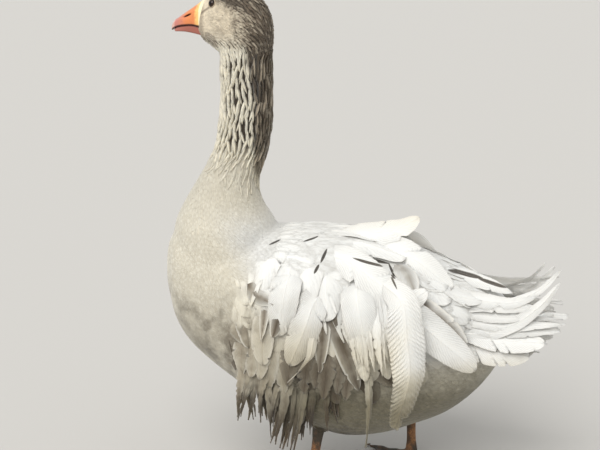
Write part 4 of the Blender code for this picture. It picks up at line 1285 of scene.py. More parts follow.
# %% Shafts of the largest plumes
# Each plume has its shaft in millimetres, its width, the way it faces, the share of its width that it has at
# the root, and how pointed its tip is
SIDE_PLUMES = {
    "hanging": (((120, 30, 325), (147, 58, 306), (154, 65, 258), (151, 70, 195), (140, 50, 116)),
        0.054, (1, 0.1, 0.1), 0.55, 0.10),
    "flight": (((95, 30, 305), (128, 62, 288), (128, 100, 258), (118, 134, 227), (103, 163, 197)),
        0.052, (1, 0.2, 0.3), 0.5, 0.0),
    "under_flight": (((85, 60, 298), (110, 90, 285), (106, 120, 262), (96, 150, 232)),
        0.036, (1, 0.1, 0.4), 0.5, 0.2),
    "long_scapular": (((66, -74, 357), (104, -20, 353), (121, 30, 322), (120, 70, 306), (112, 92, 316)),
        0.050, (1, 0, 0.6), 0.6, 0.0),
    "saddle": (((36, 0, 358), (56, 45, 362), (68, 85, 341), (70, 126, 308)), 0.050, (1, 0, 0.9), 0.6, 0.1),
    "raised": (((24, -70, 360), (30, -10, 376), (31, 40, 385), (30, 76, 405)),
        0.050, (0.9, -0.1, 1), 0.6, 0.15),
    "rump": (((30, 90, 328), (34, 135, 324), (34, 175, 311), (32, 214, 296)), 0.030, (0.6, 0, 1), 0.6, 0.3),
    "upper_primary": (((62, 50, 300), (70, 110, 293), (56, 170, 282), (46, 236, 284)),
        0.034, (0.8, 0, 0.8), 0.7, 0.3),
    "lower_primary": (((76, 40, 276), (86, 100, 268), (70, 160, 254), (56, 222, 250)),
        0.040, (1, 0, 0.5), 0.7, 0.3),
    "tertial": (((70, 60, 318), (78, 105, 308), (74, 140, 298), (68, 172, 292)),
        0.030, (0.8, 0, 0.8), 0.6, 0.1),
    "upper_sweep": (((66, 80, 285), (68, 150, 283), (63, 210, 290), (59, 254, 310), (54, 282, 338)),
        0.020, (0.8, 0.1, 0.9), 0.6, 0.5),
    "lower_sweep": (((74, 85, 262), (78, 150, 244), (74, 212, 258), (68, 254, 288), (64, 280, 321)),
        0.026, (1, 0.1, 0.5), 0.6, 0.5),
    "broad_covert": (((100, -50, 318), (138, -68, 298), (148, -80, 262), (146, -101, 208)),
        0.047, (1, 0, 0.1), 0.6, 0.0),
    "curved_blade": (((115, -60, 262), (148, -66, 248), (156, -72, 222), (147, -104, 182)),
        0.014, (1, 0.3, 0.1), 0.8, 0.8),
    "breast_covert": (((100, -128, 288), (131, -138, 272), (139, -142, 242), (134, -142, 203)),
        0.037, (1, -0.2, 0.1), 0.6, 0.0),
    "flank_covert": (((105, -48, 268), (136, -36, 248), (140, -16, 218), (133, 0, 187)),
        0.036, (1, 0, 0.1), 0.6, 0.0),
    "shoulder_covert": (((95, -100, 344), (128, -108, 325), (141, -112, 296), (143, -118, 250)),
        0.046, (1, -0.1, 0.2), 0.6, 0.0),
    "middle_covert": (((100, -10, 330), (136, -6, 306), (146, 2, 268), (140, 14, 220)),
        0.050, (1, 0.1, 0.2), 0.6, 0.1),
    "thread": (((105, 8, 225), (126, 10, 200), (128, 13, 140), (122, 6, 80)), 0.014, (1, 0.3, 0), 0.8, 0.6),
}

# %% How some plumes differ from the rest, and both sides' plumes
HABITS = {
    "hanging": {"twist": 0.6, "fray": 0.05, "splits": 1, "wave": 0.0034, "comb": 0.0014, "row_step": 0.0013},
    "flight": {"fray": 0.02, "splits": 0, "cup": 0.26},
    "under_flight": {"soil": 1.0, "cup": 0.05},
    "long_scapular": {"fray": 0.03, "cup": 0.24, "splits": 1},
    "upper_sweep": {"fray": 0.03, "splits": 0},
    "lower_sweep": {"fray": 0.03, "splits": 0},
    "curved_blade": {"fray": 0.04, "splits": 0, "twist": 1.2, "cup": 0.3},
    "breast_covert": {"soil": 0.35},
    "flank_covert": {"soil": 0.55, "cup": 0.3},
    "thread": {"fray": 0.2, "splits": 3, "twist": 0.8},
}


def side_path(name, path, side):
    """The shaft of a side plume. The right side's plumes lie a little differently."""
    path = np.array(path) / 1000
    if side > 0:
        return path
    order = list(SIDE_PLUMES).index(name)
    swing = 0.010 * math.sin(2.3 * order + 0.6)
    drop = 0.008 * math.cos(1.7 * order)
    share = np.arange(len(path)) / (len(path) - 1)
    x, y, z = path.T
    return np.stack((-x, y + swing * share**1.5 - 0.008 * share, z + (drop - 0.014) * share), axis=1)


plume_pieces = []
for side_name, side in SIDES:
    draw = np.random.default_rng(21 + side)
    blades = []
    for name, (path, width, face, root_share, point) in SIDE_PLUMES.items():
        facing_way = (face[0] * side, face[1], face[2])
        blades.append(blade(side_path(name, path, side), width, facing_way, root_share, point, draw,
                            **HABITS.get(name, {})))
    plume_pieces.append(assembled("plumes_" + side_name, blades, plume_finish))

# %% [markdown]
# ## Softer layers
# Between the body feathers and the long plumes lie coverts as long as a finger. They hang at the shoulder and
# sweep back towards the tail. The node tree above could lay them, but all would then have one curl. Here each
# is lofted by itself. It starts on the skin and follows it, then stands away at the tip.

# %% Coverts over the wings
skin_tree = tree_of(samples)


def over_skin(points, lifts):
    """The points moved to heights above the skin, with the way that the skin faces there."""
    rows = [skin_tree.find(point)[1] for point in points]
    normals = facings[rows]
    height = np.sum((points - samples[rows]) * normals, axis=1)
    return points + normals * (np.asarray(lifts) - height)[:, None], normals


def on_skin(point, lift=0.0):
    """One point moved to a height above the skin, with the way that the skin faces there."""
    places, ways = over_skin(np.array([point], float), [lift])
    return places[0], ways[0]


def covert(root, way, length, width, lift, draw, curl=0.0, **habits):
    """A blade that starts in the skin and follows it, and rises towards the tip."""
    steps = np.linspace(0, 1, 5)
    places = [np.array(root, float)]
    facing = on_skin(root)[1]
    heading = unit(way - facing * np.dot(way, facing))
    for first, second in zip(steps, steps[1:]):
        place = places[-1] + heading * length * (second - first)
        place = on_skin(place, lift * second**1.2 + curl * second**4)[0]
        heading = unit(0.75 * unit(place - places[-1]) + 0.25 * unit(way))
        places.append(place)
    places[0] = on_skin(places[0], -0.002)[0]
    return blade(places, width, on_skin(places[2])[1], 0.30, draw.uniform(0.0, 0.35), draw, **habits)


def covert_way(root):
    """Coverts hang down at the shoulder and turn back along the wing."""
    back = float(ease(root[1], -0.14, 0.10))
    top = float(ease(root[2], 0.325, 0.365))
    down = np.array((0.0, -0.10 + 0.75 * back, -1.0 + 0.45 * back))
    return unit(down * (1 - top) + np.array((0.10 * np.sign(root[0]), 1.0, -0.12)) * top)


# %% Named feathers of the shoulder and flank
SOFT = {"fray": 0.05, "splits": 1, "cup": 0.13, "wave": 0.0008}
# Feathers that give the shoulder and flank their look: the shaft's way along the skin in millimetres, the
# width, how pointed the tip is, how far it stands out, and how it differs from the rest
CLOSE_FEATHERS = {
    "rimmed_dark": (((118, -64, 321), (134, -40, 274), (134, -20, 223), (118, -5, 174)), 0.031, 0.15, 0.013,
        {"soil": 1.85}),
    "grey_leaf": (((127, -57, 301), (138, -55, 253), (133, -59, 200)), 0.024, 0.4, 0.011, {"soil": 1.7}),
    "striped_fore": (((110, -26, 328), (132, -8, 268), (122, 4, 191)), 0.036, 0.3, 0.017,
        {"comb": 0.0007, "splits": 3, "row_step": 0.0016}),
    "striped_hind": (((113, 8, 315), (129, 24, 261), (114, 35, 191)), 0.036, 0.3, 0.015,
        {"comb": 0.0007, "splits": 3, "row_step": 0.0016}),
    "small_leaf": (((122, -144, 297), (130, -137, 273), (130, -137, 243)), 0.015, 0.5, 0.015, {"soil": 0.9}),
    "cupped_leaf": (((100, -173, 322), (113, -154, 305), (128, -124, 292)), 0.032, 0.6, 0.011,
        {"soil": 1.15, "cup": 0.3}),
    "brown_leaf": (((125, -122, 305), (133, -117, 279), (136, -122, 250)), 0.024, 0.2, 0.014,
        {"soil": 1.98}),
    "rounded_grey": (((115, -163, 277), (123, -150, 238), (116, -140, 190)), 0.044, 0.0, 0.009,
        {"soil": 0.65, "cup": 0.16}),
    "fore_dark": (((109, -204, 272), (109, -194, 228), (95, -186, 184)), 0.034, 0.3, 0.003,
        {"soil": 1.85, "cup": 0.12, "wave": 0.0004}),
    "fore_rimmed": (((109, -182, 300), (115, -171, 262), (117, -163, 224)), 0.032, 0.2, 0.004,
        {"soil": 0.9, "cup": 0.12, "wave": 0.0006}),
    "tan_curl": (((76, 33, 348), (82, 54, 335), (99, 70, 306)), 0.034, 0.1, 0.013, {"soil": 0.7}),
    "soft_1": (((45, -121, 377), (97, -139, 347), (114, -152, 300)), 0.050, 0.1, 0.004, SOFT),
    "soft_2": (((31, -97, 379), (106, -105, 342), (129, -111, 294)), 0.052, 0.1, 0.005, SOFT),
    "soft_3": (((42, -69, 377), (107, -81, 340), (132, -82, 286)), 0.054, 0.1, 0.005, SOFT),
    "soft_4": (((66, -42, 368), (114, -53, 327), (134, -47, 272)), 0.054, 0.1, 0.006, SOFT),
    "soft_5": (((77, -26, 361), (115, -22, 319), (132, -13, 268)), 0.052, 0.1, 0.005, SOFT),
    "soft_6": (((53, -142, 373), (81, -167, 347), (103, -179, 308)), 0.042, 0.3, 0.002, SOFT),
    "soft_7": (((93, -3, 345), (122, 1, 299), (132, 15, 246)), 0.050, 0.1, 0.006, SOFT),
    "back_1": (((4, -104, 378), (19, -42, 377), (28, 30, 364)), 0.048, 0.1, 0.006, {}),
    "back_2": (((43, -54, 376), (57, -2, 366), (66, 56, 345)), 0.050, 0.1, 0.009, {}),
}


# %% Lay the coverts of both wings
def close_feather(points, width, point, stand, side, draw, habits):
    """A blade along the skin whose root is in the skin and whose tip stands out."""
    points = np.array(points) * (side, 1, 1)
    if side < 0:
        points = points + draw.normal(0, 0.006, 3) * (0, 1, 1)
    share = np.linspace(0, 1, len(points))
    path, normals = over_skin(points, -0.004 + (stand + 0.004) * share**0.7)
    facing = unit(normals[len(points) // 2] + UP * 0.25)
    settings = {"fray": 0.03, "splits": 1, "wave": 0.0016, "cup": 0.20, "row_step": 0.0028,
                "twist": draw.uniform(-0.3, 0.3), **habits}
    return blade(path, width, facing, 0.22, point, draw, **settings)


# Up to 1 a feather's soil greys it and towards 2 darkens it. From 2 on it is painted shade, dark with no pale
# rim
SHADED = 2.2
STRANDS = 11
SILKY = 26
LOCK_CAPS = 11
FRINGE = 22
SLENDER = {"u": SLENDER_COLUMNS, "row_step": 0.0030}
covert_pieces = []
for side_name, side in SIDES:
    draw = np.random.default_rng(41 + side)
    on_wing = (samples[:, 0] * side > 0.012) & (samples[:, 1] > -0.138) & (samples[:, 1] < 0.150)
    on_wing &= (samples[:, 2] > 0.225 + 0.02 * ease(samples[:, 1], 0.0, 0.1)) & (samples[:, 2] < 0.385)
    roots = region(on_wing, 0.0225)[0]
    blades = []
    for root in roots:
        low = float(ease(-root[2], -0.285, -0.235)) * float(ease(-root[1], -0.06, 0.02))
        # The lowest coverts in the middle of the flank are painted dark as shade, with no pale rim
        shadowed = low * float(ease(root[1], -0.130, -0.095)) * float(ease(-root[1], -0.030, 0.0))
        way = unit(covert_way(root) + draw.normal(0, 0.20, 3) * (1, 1, 0.5))
        top = float(ease(root[2], 0.320, 0.355))
        blades.append(covert(root, way, draw.uniform(0.070, 0.100), draw.uniform(0.036, 0.050),
                             draw.uniform(0.002, 0.0045) * (1 - 0.6 * top), draw,
                             curl=draw.uniform(-0.002, 0.002) * (1 - 0.8 * top), cup=0.06,
                             twist=draw.uniform(-0.2, 0.2) * (1 - 0.7 * top),
                             soil=SHADED if shadowed > 0.4 else 0.75 * low * draw.random(),
                             fray=0.05, splits=1, wave=0.0006, row_step=0.0034, shaft=0.5))
    for points, width, point, stand, habits in CLOSE_FEATHERS.values():
        blades.append(close_feather(np.array(points) / 1000, width, point, stand, side, draw, habits))
    for share in np.linspace(0, 1, FRINGE):
        root = on_skin((0.11 * side, -0.196 + 0.040 * draw.random(), 0.225 + 0.115 * share))[0]
        way = np.array((0.0, 0.35, -1.0)) + draw.normal(0, 0.16, 3)
        blades.append(covert(root, way, draw.uniform(0.045, 0.062), draw.uniform(0.022, 0.032),
                             draw.uniform(0.0012, 0.0028), draw, soil=0.7 * (1 - share) * draw.random(),
                             cup=0.12, fray=0.05, wave=0.0005, row_step=0.0034, shaft=0.3))
    for share in np.linspace(0, 1, STRANDS):
        strand = np.array(((0.124, -0.030 + 0.062 * share, 0.312), (0.146, -0.016 + 0.056 * share, 0.258),
                           (0.144, -0.006 + 0.054 * share, 0.202 + draw.uniform(-0.008, 0.016))))
        strand[1:, 1] += draw.normal(0, 0.003)
        blades.append(blade(strand * (side, 1, 1), draw.uniform(0.011, 0.019),
                            (side, draw.uniform(-0.3, 0.3), 0.1), 0.5, 0.85, draw,
                            twist=draw.uniform(-0.4, 0.4), fray=0.16, splits=3, cup=0.12, shaft=0.5,
                            **SLENDER))
    for share in np.linspace(0, 1, SILKY):
        root = on_skin((0.12 * side, -0.150 + 0.150 * share, draw.uniform(0.285, 0.345)))[0]
        way = unit(covert_way(root) + draw.normal(0, 0.22, 3) * (1, 1, 0.4))
        blades.append(covert(root, way, draw.uniform(0.045, 0.075), draw.uniform(0.006, 0.010),
                             draw.uniform(0.006, 0.009), draw, cup=0.1, fray=0.2, wave=0.0008,
                             shaft=0.4, **SLENDER))
    for y in np.linspace(-0.178, -0.020, LOCK_CAPS):
        y += draw.normal(0, 0.003)
        tip = (0.126, y, draw.uniform(0.150, 0.180))
        cap = ((0.100, y + 0.012, 0.246), (0.124, y + 0.005, 0.214), tip)
        width, stand = draw.uniform(0.030, 0.044), draw.uniform(0.012, 0.016)
        # The caps of the rearward locks are painted dark as shade
        habits = {"soil": SHADED if y > -0.105 else draw.uniform(0.2, 0.8), "cup": 0.08,
                  "fray": 0.12, "splits": 4, "wave": 0.0010, "shaft": 0.5}
        blades.append(close_feather(cap, width, 0.55, stand, side, draw, habits))
    covert_pieces.append(assembled("coverts_" + side_name, blades, covert_finish))

# %% [markdown]
# Below the wing the flank feathers hang in locks. Wet ground has drawn each lock to a point and stained it.
# One spike for each would be too smooth, so a lock is a bundle of slender plumes that start apart and meet
# at the tip.

# %% Locks of the flanks
TUFTS = 7
LOCK_PLUMES = 5
LOCK_TOP = 0.192


def tuft_path(order, side):
    """The middle of a lock that hangs from the flank, ahead of the leg."""
    share = order / (TUFTS - 1)
    y = -0.172 + 0.122 * share
    tip_z = 0.114 - 0.050 * math.exp(-(((share - 0.62) / 0.30) ** 2)) + 0.006 * math.sin(2.6 * order)
    return np.array((
        (0.088 * side, y + 0.010, 0.246),
        ((0.112 + 0.004 * math.sin(2.2 * order)) * side, y + 0.004, LOCK_TOP + 0.012 * math.sin(3.1 * order)),
        (0.119 * side, y, 0.58 * LOCK_TOP + 0.42 * tip_z),
        ((0.110 + 0.008 * math.cos(1.9 * order)) * side, y - 0.008 + 0.010 * math.sin(1.3 * order), tip_z)))


lock_pieces = []
for side_name, side in SIDES:
    draw = np.random.default_rng(61 + side)
    blades = []
    for order in np.arange(0, TUFTS - 0.4, 0.5):
        middle = tuft_path(order, side)
        if order % 1:
            middle[:, 0] -= 0.007 * side
            middle[-1, 2] += draw.uniform(-0.006, 0.016)
        lock_tint, lock_soil = draw.random(2) * (1, 0.35)
        for _ in range(LOCK_PLUMES):
            spread = np.array((draw.uniform(-0.007, 0.006) * side, draw.uniform(-0.015, 0.015), 0))
            path = middle + spread * np.array((1, 1.0, 0.50, 0.10))[:, None]
            path[1:, :2] += draw.normal(0, 0.0016, (3, 2))
            path[-1] += (draw.normal(0, 0.0018), draw.normal(0, 0.0022), draw.uniform(-0.006, 0.018))
            blades.append(blade(path, draw.uniform(0.012, 0.026), (side, draw.uniform(-0.4, 0.6), 0.15), 0.65,
                                0.9, draw, twist=draw.uniform(-0.5, 0.5), fray=0.22, splits=3, wave=0.0012,
                                cup=0.14, soil=lock_soil * draw.uniform(0.3, 1.2), row_step=0.0036,
                                u=SLENDER_COLUMNS, shaft=0.4, tint=0.5 * lock_tint + 0.5 * draw.random()))
    lock_pieces.append(assembled("locks_" + side_name, blades, lock_finish))

# %% [markdown]
# The tail is a short fan, and in this breed its tips are frayed. Copies of one feather would look like
# paper, so they are lofted one by one too: the fan, shorter ones over it, and frayed ones at its sides.

# %% The tail and its frayed tips
TAIL_FEATHERS = 6
TAIL_LENGTH = 0.130


def tail_path(order, side):
    """A tail feather of a fan that slopes down to its outer feathers like a roof."""
    share = order / (TAIL_FEATHERS - 1)
    spread = math.radians(1 + 15 * share)
    length = TAIL_LENGTH * (1.0 - 0.34 * share**1.5)
    root = np.array((0.006 + 0.034 * share, 0.168 - 0.004 * share, 0.272 - 0.064 * share))
    ahead = np.array((math.sin(spread), math.cos(spread), -0.13 + 0.23 * share))
    path = np.array((root, root + ahead * length * 0.5 - UP * 0.005, root + ahead * length))
    return path * (side, 1, 1)


draw = np.random.default_rng(81)
blades = []
for side in (1, -1):
    for order in range(TAIL_FEATHERS):
        share = order / (TAIL_FEATHERS - 1)
        blades.append(blade(tail_path(order, side), 0.034, (side * (0.15 + 0.75 * share), 0, 1), 0.75, 0.20,
                            draw, fray=0.22, splits=5, wave=0.0012, cup=0.12, row_step=0.0020))
    for order in (0.6, 2.4, 4.3):
        share = order / (TAIL_FEATHERS - 1)
        path = tail_path(order, side)
        path[:, 2] += 0.007
        path[-1] = path[1] + (path[-1] - path[1]) * draw.uniform(0.35, 0.7)
        blades.append(blade(path, 0.026, (side * (0.15 + 0.75 * share), 0, 1), 0.75, 0.20, draw, fray=0.20,
                            splits=4, wave=0.0014, row_step=0.0022))
TAIL_SIDES = (
    (((0.070, 0.131, 0.255), (0.078, 0.197, 0.239), (0.072, 0.261, 0.232)), 0.042),
    (((0.070, 0.124, 0.238), (0.080, 0.186, 0.220), (0.072, 0.240, 0.212)), 0.044),
    (((0.058, 0.153, 0.273), (0.062, 0.218, 0.260), (0.056, 0.280, 0.250)), 0.036))
TAIL_FRINGE = 9
TAIL_SLENDER = 5
for side in (1, -1):
    for share in np.linspace(0, 1, TAIL_SLENDER):
        path = np.array(((0.066 + 0.006 * share, 0.126, 0.300 - 0.044 * share),
                         (0.069 + 0.006 * share, 0.205, 0.290 - 0.040 * share),
                         (0.060, 0.264 + draw.uniform(-0.016, 0.024), 0.300 - 0.054 * share)))
        path[1:, 2] += draw.normal(0, 0.0025, 2)
        blades.append(blade(path * (side, 1, 1), draw.uniform(0.020, 0.028), (side, 0, 0.6), 0.7, 0.6, draw,
                            fray=0.08, splits=2, wave=0.001, shaft=0.6, **SLENDER))
    for path, width in TAIL_SIDES:
        blades.append(blade(np.array(path) * (side, 1, 1), width, (side, 0, 0.75), 0.7, 0.10, draw, fray=0.04,
                            splits=3, wave=0.0014, cup=0.12, row_step=0.0020))
    for order in range(TAIL_FRINGE):
        share = order / (TAIL_FRINGE - 1)
        start = np.array((0.056 + 0.012 * share, 0.215 - 0.030 * share, 0.268 - 0.038 * share))
        reach = 0.078 - 0.012 * share + draw.uniform(-0.010, 0.006)
        tip = start + np.array((-0.004, reach, -0.004 - 0.010 * share))
        middle = (start + tip) / 2 + (0.003, 0, draw.uniform(-0.003, 0.001))
        blades.append(blade(np.array((start, middle, tip)) * (side, 1, 1), draw.uniform(0.007, 0.012),
                            (side, 0, 0.75), 0.8, 0.9, draw, fray=0.2, wave=0.001, shaft=0.5,
                            **SLENDER))
tail_piece = assembled("tail_feathers", blades, plume_finish)

# %% [markdown]
# ## Bill
# The bill is bone under a horny skin: orange, yellow where it meets the face and pink at the tip, which ends
# in a hard nail. Fine teeth line the biting edge. It could be a texture on a cone, but the nostril, the nail
# and the teeth catch the light, so they are shaped in the mesh.

# %% Sections of the bill
BILL_LENGTH = 0.064
BILL_SINK = 0.006
UPPER_BILL = np.array((
    (0.00, 0.0125, -0.0400, 0.0168), (0.18, 0.0035, -0.0355, 0.0160), (0.38, -0.0055, -0.0335, 0.0150),
    (0.58, -0.0138, -0.0345, 0.0142), (0.76, -0.0215, -0.0365, 0.0130), (0.90, -0.0278, -0.0400, 0.0102),
    (0.98, -0.0338, -0.0428, 0.0060), (1.00, -0.0370, -0.0428, 0.0030)))
LOWER_BILL = np.array((
    (0.00, -0.0407, -0.0505, 0.0148), (0.20, -0.0362, -0.0490, 0.0142), (0.40, -0.0342, -0.0468, 0.0132),
    (0.60, -0.0352, -0.0452, 0.0122), (0.78, -0.0374, -0.0450, 0.0108), (0.88, -0.0400, -0.0452, 0.0080),
    (0.91, -0.0412, -0.0446, 0.0040)))
BILL_ROWS, BILL_COLUMNS = 150, 72
TEETH = 26
BILL_ROOT = 0.0255
NOSTRIL = (0.495, 0.59, 0.105, 0.058)
NAIL_START = 0.84
BILL_CREAM = (0.84, 0.76, 0.50, 1)
BILL_YELLOW = (0.80, 0.50, 0.17, 1)
BILL_ORANGE = (0.66, 0.215, 0.070, 1)
BILL_PINK = (0.52, 0.190, 0.155, 1)
BILL_SHADE_AND_BLOTCH = (0.26, 0.078, 0.050, 1)
GAPE_BROWN = (0.060, 0.012, 0.008, 1)
NAIL_PALE = (0.74, 0.52, 0.44, 1)


def bill_finish(name, upper):
    made, w, place = new_material(name, 0.36, Coat_Weight=0.15)
    share, edge, pit = (w.attribute(key) for key in ("share", "edge", "pit"))
    mottle = w.noise(place, 240.0, 4.0)
    blur = share + (mottle - 0.5) * 0.16
    if upper:
        colour = w.blend(w.step(share, 0.165, 0.195), BILL_CREAM, BILL_YELLOW)
        colour = w.blend(w.step(blur, 0.22, 0.32), colour, BILL_ORANGE)
        colour = w.blend(w.step(blur, 0.46, 0.80), colour, BILL_PINK)
        colour = w.blend(w.step(share, NAIL_START - 0.01, NAIL_START + 0.03) * 0.7, colour, NAIL_PALE)
    else:
        # The lower half is painted darker as shade, pinker towards its tip
        colour = w.blend(w.step(blur, 0.45, 0.95, 0.15, 0.6), BILL_SHADE_AND_BLOTCH, BILL_PINK)
    colour = w.blend(w.step(mottle, 0.52, 0.75) * 0.25, colour, BILL_SHADE_AND_BLOTCH)
    colour = w.blend(w.step(edge, 0.16, 0.62) * 0.9, colour, GAPE_BROWN)
    colour = w.blend(w.step(pit, 0.30, 0.62), colour, GAPE_BROWN)
    finish(w, colour, w.noise(place, 900.0, 2.0, (1.0, 0.35, 1.0)), 0.0002, 0.6)
    return made


def hard_form(name, points, faces, material):
    """A smooth closed piece with one material."""
    made = object_from(name, points, faces)
    face_out(made.data)
    made.data.shade_smooth()
    made.data.materials.append(material)
    return made


def bill_mesh(name, table, arch, keel, upper):
    """A half of the bill, with its teeth along the edge, and on the upper half the nostrils and the nail."""
    shares = np.linspace(0, table[-1, 0], BILL_ROWS)
    angle = full_turn(BILL_COLUMNS)
    across = signed_power(np.cos(angle), 0.62)
    above = np.sin(angle) >= 0
    rings, edges, pits = [], [], []
    for share, (top, bottom, half) in zip(shares, rows_at(table, shares)):
        middle = BETWEEN_EYES + AHEAD * (BILL_ROOT + share * (BILL_LENGTH + BILL_SINK))
        height = (top - bottom) / 2
        slope = np.where(above, 1 - arch * np.abs(across) ** 2.4, -(1 - keel * np.abs(across) ** 2.4))
        slope *= np.minimum(np.abs(np.sin(angle)) * 2.2, 1) ** 0.5
        side = across * half
        rise = (top + bottom) / 2 + height * slope
        biting = bottom if upper else top
        edge = np.exp(-(((rise - biting) / 0.0016) ** 2)) * (np.abs(across) > 0.5)
        teeth = 0.00030 * edge * math.sin(share * TEETH * 2 * math.pi) * ease(share, 0.08, 0.2)
        rise = rise + teeth * (-1 if upper else 1)
        pit = np.zeros(BILL_COLUMNS)
        if upper:
            along_pit = (share - NOSTRIL[0]) / NOSTRIL[2]
            around_pit = ((rise - bottom) / max(top - bottom, 1e-4) - NOSTRIL[1]) / NOSTRIL[3]
            pit = np.exp(-(along_pit**2 + around_pit**2) ** 1.5) * above
            nail = ease(share, NAIL_START - 0.012, NAIL_START + 0.012) * (np.abs(across) < 0.75) * above
            groove = np.exp(-(((share - NAIL_START) / 0.010) ** 2)) * above
            rise = rise + 0.0005 * nail - 0.0004 * groove
            side = side * (1 + 0.02 * np.exp(-((share - 0.105) / 0.018) ** 2))
        side = side * (1 - 0.30 * pit)
        rings.append(middle + np.outer(side, LEFT) + np.outer(rise, UP))
        edges.append(edge)
        pits.append(pit)
    made = hard_form(name, *loft(rings), bill_finish("horn_of_" + name, upper))
    for key, values in (("edge", edges), ("pit", pits), ("share", np.repeat(shares, BILL_COLUMNS))):
        store(made.data, key, values)
    return made


# %% Both halves of the bill
bill_upper = bill_mesh("upper_bill", UPPER_BILL, 0.80, 0.0, True)
bill_lower = bill_mesh("lower_bill", LOWER_BILL, 0.0, 0.35, False)
print("bill:", len(bill_upper.data.polygons), "and", len(bill_lower.data.polygons), "faces")

# %% [markdown]
# ## Eyes
# A goose's eye is almost all iris and pupil, with a clear domed front. It could be a plain sphere with a
# painted iris, but that needs an image. Here the ball is lofted so that its pole looks out, and the colours
# are rings round that pole.

# %% Eyeballs
IRIS_RIM, PUPIL_RIM = 0.0046, 0.0026


def eyeball(name, side, material):
    middle, out, long_way, short_way = eye_axes(side)
    turns = full_turn(56)
    round_pole = np.outer(np.cos(turns), long_way) + np.outer(np.sin(turns), short_way)
    rings = []
    for slope in np.linspace(0, math.pi, 34)[1:-1]:
        radius = EYE_RADIUS * (1 + 0.045 * math.exp(-((slope / 0.55) ** 2)))
        rings.append(middle + out * radius * math.cos(slope) + radius * math.sin(slope) * round_pole)
    points, faces = loft(rings)
    made = hard_form(name, points, faces, material)
    reach = np.linalg.norm(np.cross(points - middle, out), axis=1)
    store(made.data, "reach", np.where((points - middle) @ out > 0, reach, EYE_RADIUS))
    return made


def eye_finish():
    made, w, place = new_material("goose_eye", 0.06, Specular_IOR_Level=0.22, Coat_Weight=0.10,
                                  Coat_Roughness=0.03)
    reach = w.attribute("reach")
    rays = w.noise(place, 700.0, 3.0)
    iris = w.blend(rays, (0.016, 0.009, 0.006, 1), (0.040, 0.021, 0.012, 1))
    colour = w.blend(w.step(reach, PUPIL_RIM - 0.0003, PUPIL_RIM + 0.0003), (0.004, 0.004, 0.005, 1), iris)
    colour = w.blend(w.step(reach, IRIS_RIM - 0.0003, IRIS_RIM + 0.0006), colour, (0.012, 0.008, 0.006, 1))
    w.feed(w.shader["Base Color"], colour)
    w.feed(w.shader["Roughness"], w.step(rays, 0.2, 0.8, 0.05, 0.09))
    return made


glassy = eye_finish()
eyeballs = [eyeball("eyeball_" + side_name, side, glassy) for side_name, side in SIDES]
print("eyes:", [len(ball.data.polygons) for ball in eyeballs], "faces")

# %% [markdown]
# ## Claws
# Each toe ends in a short blunt claw, worn flat by walking. A cone would do from afar, but a loft can be
# round above and flatter below, and it is darker where it meets the ground.

# %% Claws
CLAW_LENGTH = 0.0085
CLAW_GAP = 0.0006


def claw_rings(start, end, half):
    heading = unit(end - start)
    across = np.array((-heading[1], heading[0], 0.0))
    root = end + heading * CLAW_GAP
    angle = full_turn(18)
    hollow = np.where(np.sin(angle) < 0, 0.75, 1.0)
    rings = []
    for share in np.linspace(0, 1, 16):
        width = half * (0.62 - 0.50 * share**1.3)
        top = 0.0052 - 0.0036 * share**1.6
        low = 0.0010 - 0.0004 * share
        centre = root + heading * CLAW_LENGTH * share + UP * (top + low) / 2
        rings.append(centre + np.outer(signed_power(np.cos(angle), 0.8) * width, across)
                     + np.outer(signed_power(np.sin(angle), 0.8) * hollow * (top - low) / 2, UP))
    return np.array(rings)


def horn_finish():
    made, w, place = new_material("claw_horn_shaded", 0.38)
    grain = w.noise(place, 1400.0, 3.0, (1.0, 0.25, 1.0))
    colour = w.blend(grain, (0.075, 0.050, 0.034, 1), (0.20, 0.145, 0.100, 1))
    colour = w.blend(w.step(w.height_of(place), 0.0025, 0.0008), colour, (0.05, 0.036, 0.026, 1))
    finish(w, colour, grain, 0.0002, 0.7)
    return made


horn = horn_finish()
claw_pieces = []
for side_name, side, ankle_y, _ in LEGS:
    forms = [claw_rings(*line) for line in toe_lines(side, ankle_y).values()]
    claw_pieces.append(hard_form("claws_" + side_name, *gathered(forms), horn))
print("claws:", [len(piece.data.polygons) for piece in claw_pieces], "faces")

# %% [markdown]
# ## Bare skin
# The legs and webs are scaly, orange under dried mud, and the top of the shank is painted dark as the shade
# under the belly. The lids end in a pale rim. They could be pieces of their own with a seam round them, but
# on the bird they are the same skin, so only its finish changes there.

# %% Finishes of the bare skin
def leg_finish():
    made, w, place = new_material("scaly_leg", 0.5)
    z = w.height_of(place)
    cells = w.out("ShaderNodeTexVoronoi", {"Vector": place, "Scale": 520.0}, feature="DISTANCE_TO_EDGE")
    scale_edge = w.step(cells, 0.02, 0.22)
    dirt = w.noise(place, 60.0, 4.0)
    # Mud near the floor and in patches, and painted shade high on the shank, under the belly
    shank_shade_and_mud = (w.step(z, 0.030, 0.004).at_least(w.step(z, 0.045, 0.075)) + w.step(dirt, 0.42, 0.66)) * 0.80
    colour = w.blend(dirt, (0.40, 0.17, 0.055, 1), (0.60, 0.27, 0.09, 1))
    colour = w.blend(1.0 - scale_edge, colour, (0.15, 0.075, 0.035, 1))
    finish(w, w.blend(shank_shade_and_mud, colour, (0.060, 0.045, 0.030, 1)), scale_edge, 0.0005)
    w.feed(w.shader["Roughness"], w.step(dirt, 0.3, 0.7, 0.42, 0.75))
    return made


def lid_finish():
    made, w, place = new_material("lid_rim", 0.55)
    folds = w.noise(place, 900.0, 3.0)
    finish(w, w.blend(folds, (0.30, 0.235, 0.16, 1), (0.46, 0.38, 0.27, 1)), folds, 0.0003)
    return made


